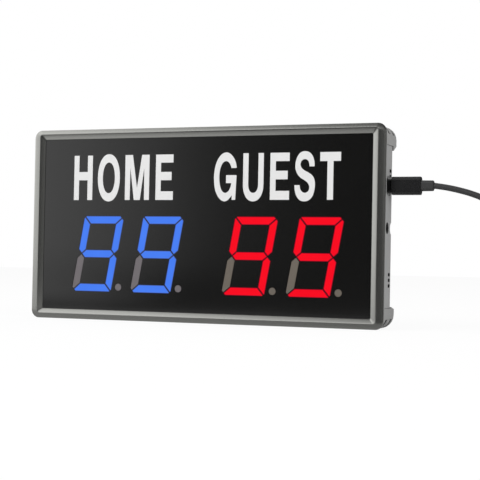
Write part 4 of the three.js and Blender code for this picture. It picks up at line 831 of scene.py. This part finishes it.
overmould = new_piece("plug_overmould", *rounded_loft([
    (112.3, 1.2, 3.65, 1.1), (112.45, 1.35, 3.8, 1.25), (114.55, 1.35, 3.8, 1.25), (114.6, 2.5, 4.7, 1.7),
    (114.7, 2.8, 5.0, 1.9), (115.0, 3.0, 5.2, 2.0), (131.0, 3.0, 5.2, 2.0), (131.3, 2.8, 5.0, 1.9),
    (131.4, 2.5, 4.7, 1.7)]), black_moulding, "black_plastic")
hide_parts("usb_plug_body")
relief = new_piece("plug_strain_relief", *rounded_loft([
    (131.3, 2.1, 2.9, 1.7), (131.5, 2.3, 3.1, 1.8), (138.0, 2.2, 3.0, 1.8), (138.4, 2.05, 2.85, 1.7),
    (138.55, 1.8, 2.5, 1.6), (138.85, 1.78, 1.9, 1.7)]), jacket, "black_plastic")
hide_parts("usb_strain_relief")
for piece in (overmould, relief):
    piece.modifiers.new("flat_sides", "WEIGHTED_NORMAL").weight = 90

# Inside parts: the digits' housings, boards, chips, battery, wires and connectors. They are seen
# only through the vents, and each has the finish of the real thing.
dress(new_finish("housing_plastic", lambda flow, place: moulded(flow, place, (0.04, 0.04, 0.045, 1), 0.6)),
      *[f"digit_housing_{i}" for i in range(1, 5)])
dress(new_finish("green_board", lambda flow, place: moulded(
    flow, place, (0.014, 0.1, 0.04, 1), 0.35, grain=1500.0)), "display_board", "control_board")
dress(new_finish("black_epoxy", lambda flow, place: moulded(flow, place, (0.012, 0.012, 0.013, 1), 0.5)),
      "digit_driver_chip_1", "digit_driver_chip_2", "controller_chip")
dress(new_finish("battery_wrap", lambda flow, place: moulded(
    flow, place, (0.11, 0.16, 0.24, 1), 0.4, **{"Metallic": 0.2})), "battery_pack")
dress(new_finish("red_insulation", lambda flow, place: moulded(flow, place, (0.43, 0.02, 0.015, 1), 0.45)),
      "battery_wire_1", "battery_wire_2")
dress(new_finish("ivory_moulding", lambda flow, place: moulded(flow, place, (0.8, 0.77, 0.6, 1), 0.4)),
      "battery_plug", "link_plug_left", "link_plug_right", "link_cable")
dress(new_finish("hook_and_loop", lambda flow, place: moulded(
    flow, place, (0.012, 0.012, 0.013, 1), 0.8, grain=2500.0, depth=0.0002)), "cord_tie")

# Studio: a white room with a soft light from the upper left and a weaker one from the upper right.
# What a polished face mirrors is white to the left, overhead and to the left behind, and darker
# straight ahead, where the camera stands, and to the right.
def grey(level):
    """A grey colour of one level."""
    return level, level, level, 1


def grey_stops(*stops):
    """A ramp's stops from pairs of place and grey level."""
    return [(place, grey(level)) for place, level in stops]


horizon_fades = (0.25, 0.5)
overhead_edge, overhead_lean, overhead_sharp, overhead_least = 0.722, 1.5, 2.0, 0.03
ambient_level, behind_level = 0.62, 0.95

world = bpy.data.worlds.new("studio")
world.use_nodes = True
bpy.context.scene.world = world
world.node_tree.nodes.clear()
sky = Flow(world.node_tree)
way = sky.node("TexCoord", out="Generated")
east, north, upward = sky.parts(way)
west = east * -1.0
up = sky.maths("MAXIMUM", upward, 0.0)
low = sky.node("ValToRGB", {"stops": grey_stops(
    (0.0, 0.14), (0.15, 0.024), (0.5, 0.017), (0.565, 0.11), (0.622, 0.54), (0.678, 0.85), (0.75, 0.6),
    (0.88, 0.62), (0.94, 1))}, {"Fac": west * 0.7 + 0.3})
# Overhead it is white to the left of a line that leans to the left with height.
high = (west - (up - overhead_edge) * overhead_lean) * overhead_sharp
high = sky.maths("MINIMUM", sky.maths("MAXIMUM", high, overhead_least), 1.0)
mirrored = sky.colour_mix(up.between(*horizon_fades), low, high)
behind = north.between(0.0, 0.3) * west.between(-0.15, 0.1)
mirrored = sky.colour_mix(behind, mirrored, grey(behind_level))
ambient = sky.colour_mix(sky.node("LightPath", out="Is Glossy Ray"), grey(ambient_level), mirrored)
seen = sky.colour_mix(sky.node("LightPath", out="Is Camera Ray"), ambient, grey(1))
sky.node("OutputWorld", {}, {"Surface": sky.node("Background", {}, {"Color": seen, "Strength": 1.0})})


light_aim, light_size = (0, 0, 0.06), 1.2


def soft_light(name, place, power):
    """A square soft light at a place in metres: its back is the unit vector from its aim to it."""
    data = bpy.data.lights.new(name, "AREA")
    data.shape = "SQUARE"
    data.size = light_size
    data.energy = power
    lamp = bpy.data.objects.new(name, data)
    back = np.subtract(place, light_aim)
    back /= np.linalg.norm(back)
    across = np.cross([0, 0, 1], back)
    across /= np.linalg.norm(across)
    pose = np.eye(4)
    pose[:3, 0], pose[:3, 1], pose[:3, 2], pose[:3, 3] = across, np.cross(back, across), back, place
    lamp.matrix_world = Matrix(pose.tolist())
    lamp.visible_glossy = False
    bpy.context.scene.collection.objects.link(lamp)


soft_light("key_light", (-1.3, -1.5, 1.1), 26)
soft_light("fill_light", (1.4, -0.9, 0.9), 9)

floor_half = 4.0
floor_mesh = bpy.data.meshes.new("floor")
floor_mesh.from_pydata([(sx * floor_half, sy * floor_half, 0.0) for sx, sy in (
    (-1, -1), (1, -1), (1, 1), (-1, 1))], [], [(0, 1, 2, 3)])
floor = bpy.data.objects.new("floor", floor_mesh)
bpy.context.scene.collection.objects.link(floor)


def pale_floor(flow, place):
    """Pale matt floor. The camera sees it white with the object's shadow on it. What mirrors it sees
    it grey below the board, then pale, then dark further to the front and to the right, and pale to
    the left and to the left behind, as under a light from the left."""
    x, y = flow.parts(place)[:2]
    forward = y * -2.0
    right = x.between(-0.3, 0.3) * forward.between(0.02, 0.03) * 0.6
    beside = x.between(0.098, 0.114) * forward.between(0.03, 0.06)
    left = (x / y).between(0.42, 0.8) * forward.between(0.4, 0.9)
    behind = y.between(0.02, 0.1) * (1 - x.between(-0.1, 0.1))
    tones = flow.node("ValToRGB", {"stops": grey_stops(
        (0.02, 0.3), (0.1, 0.28), (0.2, 0.65), (0.25, 0.63), (0.34, 0.06), (0.5, 0.03))}, {"Fac": forward})
    tones = flow.colour_mix(left, tones, grey(0.7))
    tones = flow.colour_mix(behind, tones, grey(0.85))
    tones = flow.colour_mix(flow.maths("MAXIMUM", right, beside), tones, grey(0.05))
    mirrored = flow.node("Emission", {}, {"Color": tones, "Strength": 1.0})
    matt = flow.node("BsdfDiffuse", {}, {"Color": grey(0.8)})
    white = flow.node("Emission", {}, {"Color": grey(1), "Strength": 1.0})
    lit = flow.node("BsdfDiffuse", {}, {"Color": grey(1)})
    shadowed = flow.node("MixShader", {}, {0: 0.9, 1: lit, 2: white})
    seen = flow.node("MixShader", {}, {0: flow.node("LightPath", out="Is Camera Ray"), 1: matt, 2: shadowed})
    return flow.node("MixShader", {}, {0: flow.node("LightPath", out="Is Glossy Ray"), 1: seen, 2: mirrored})


floor_mesh.materials.append(new_finish("pale_floor", pale_floor))

bpy.context.scene.view_settings.view_transform = "Standard"
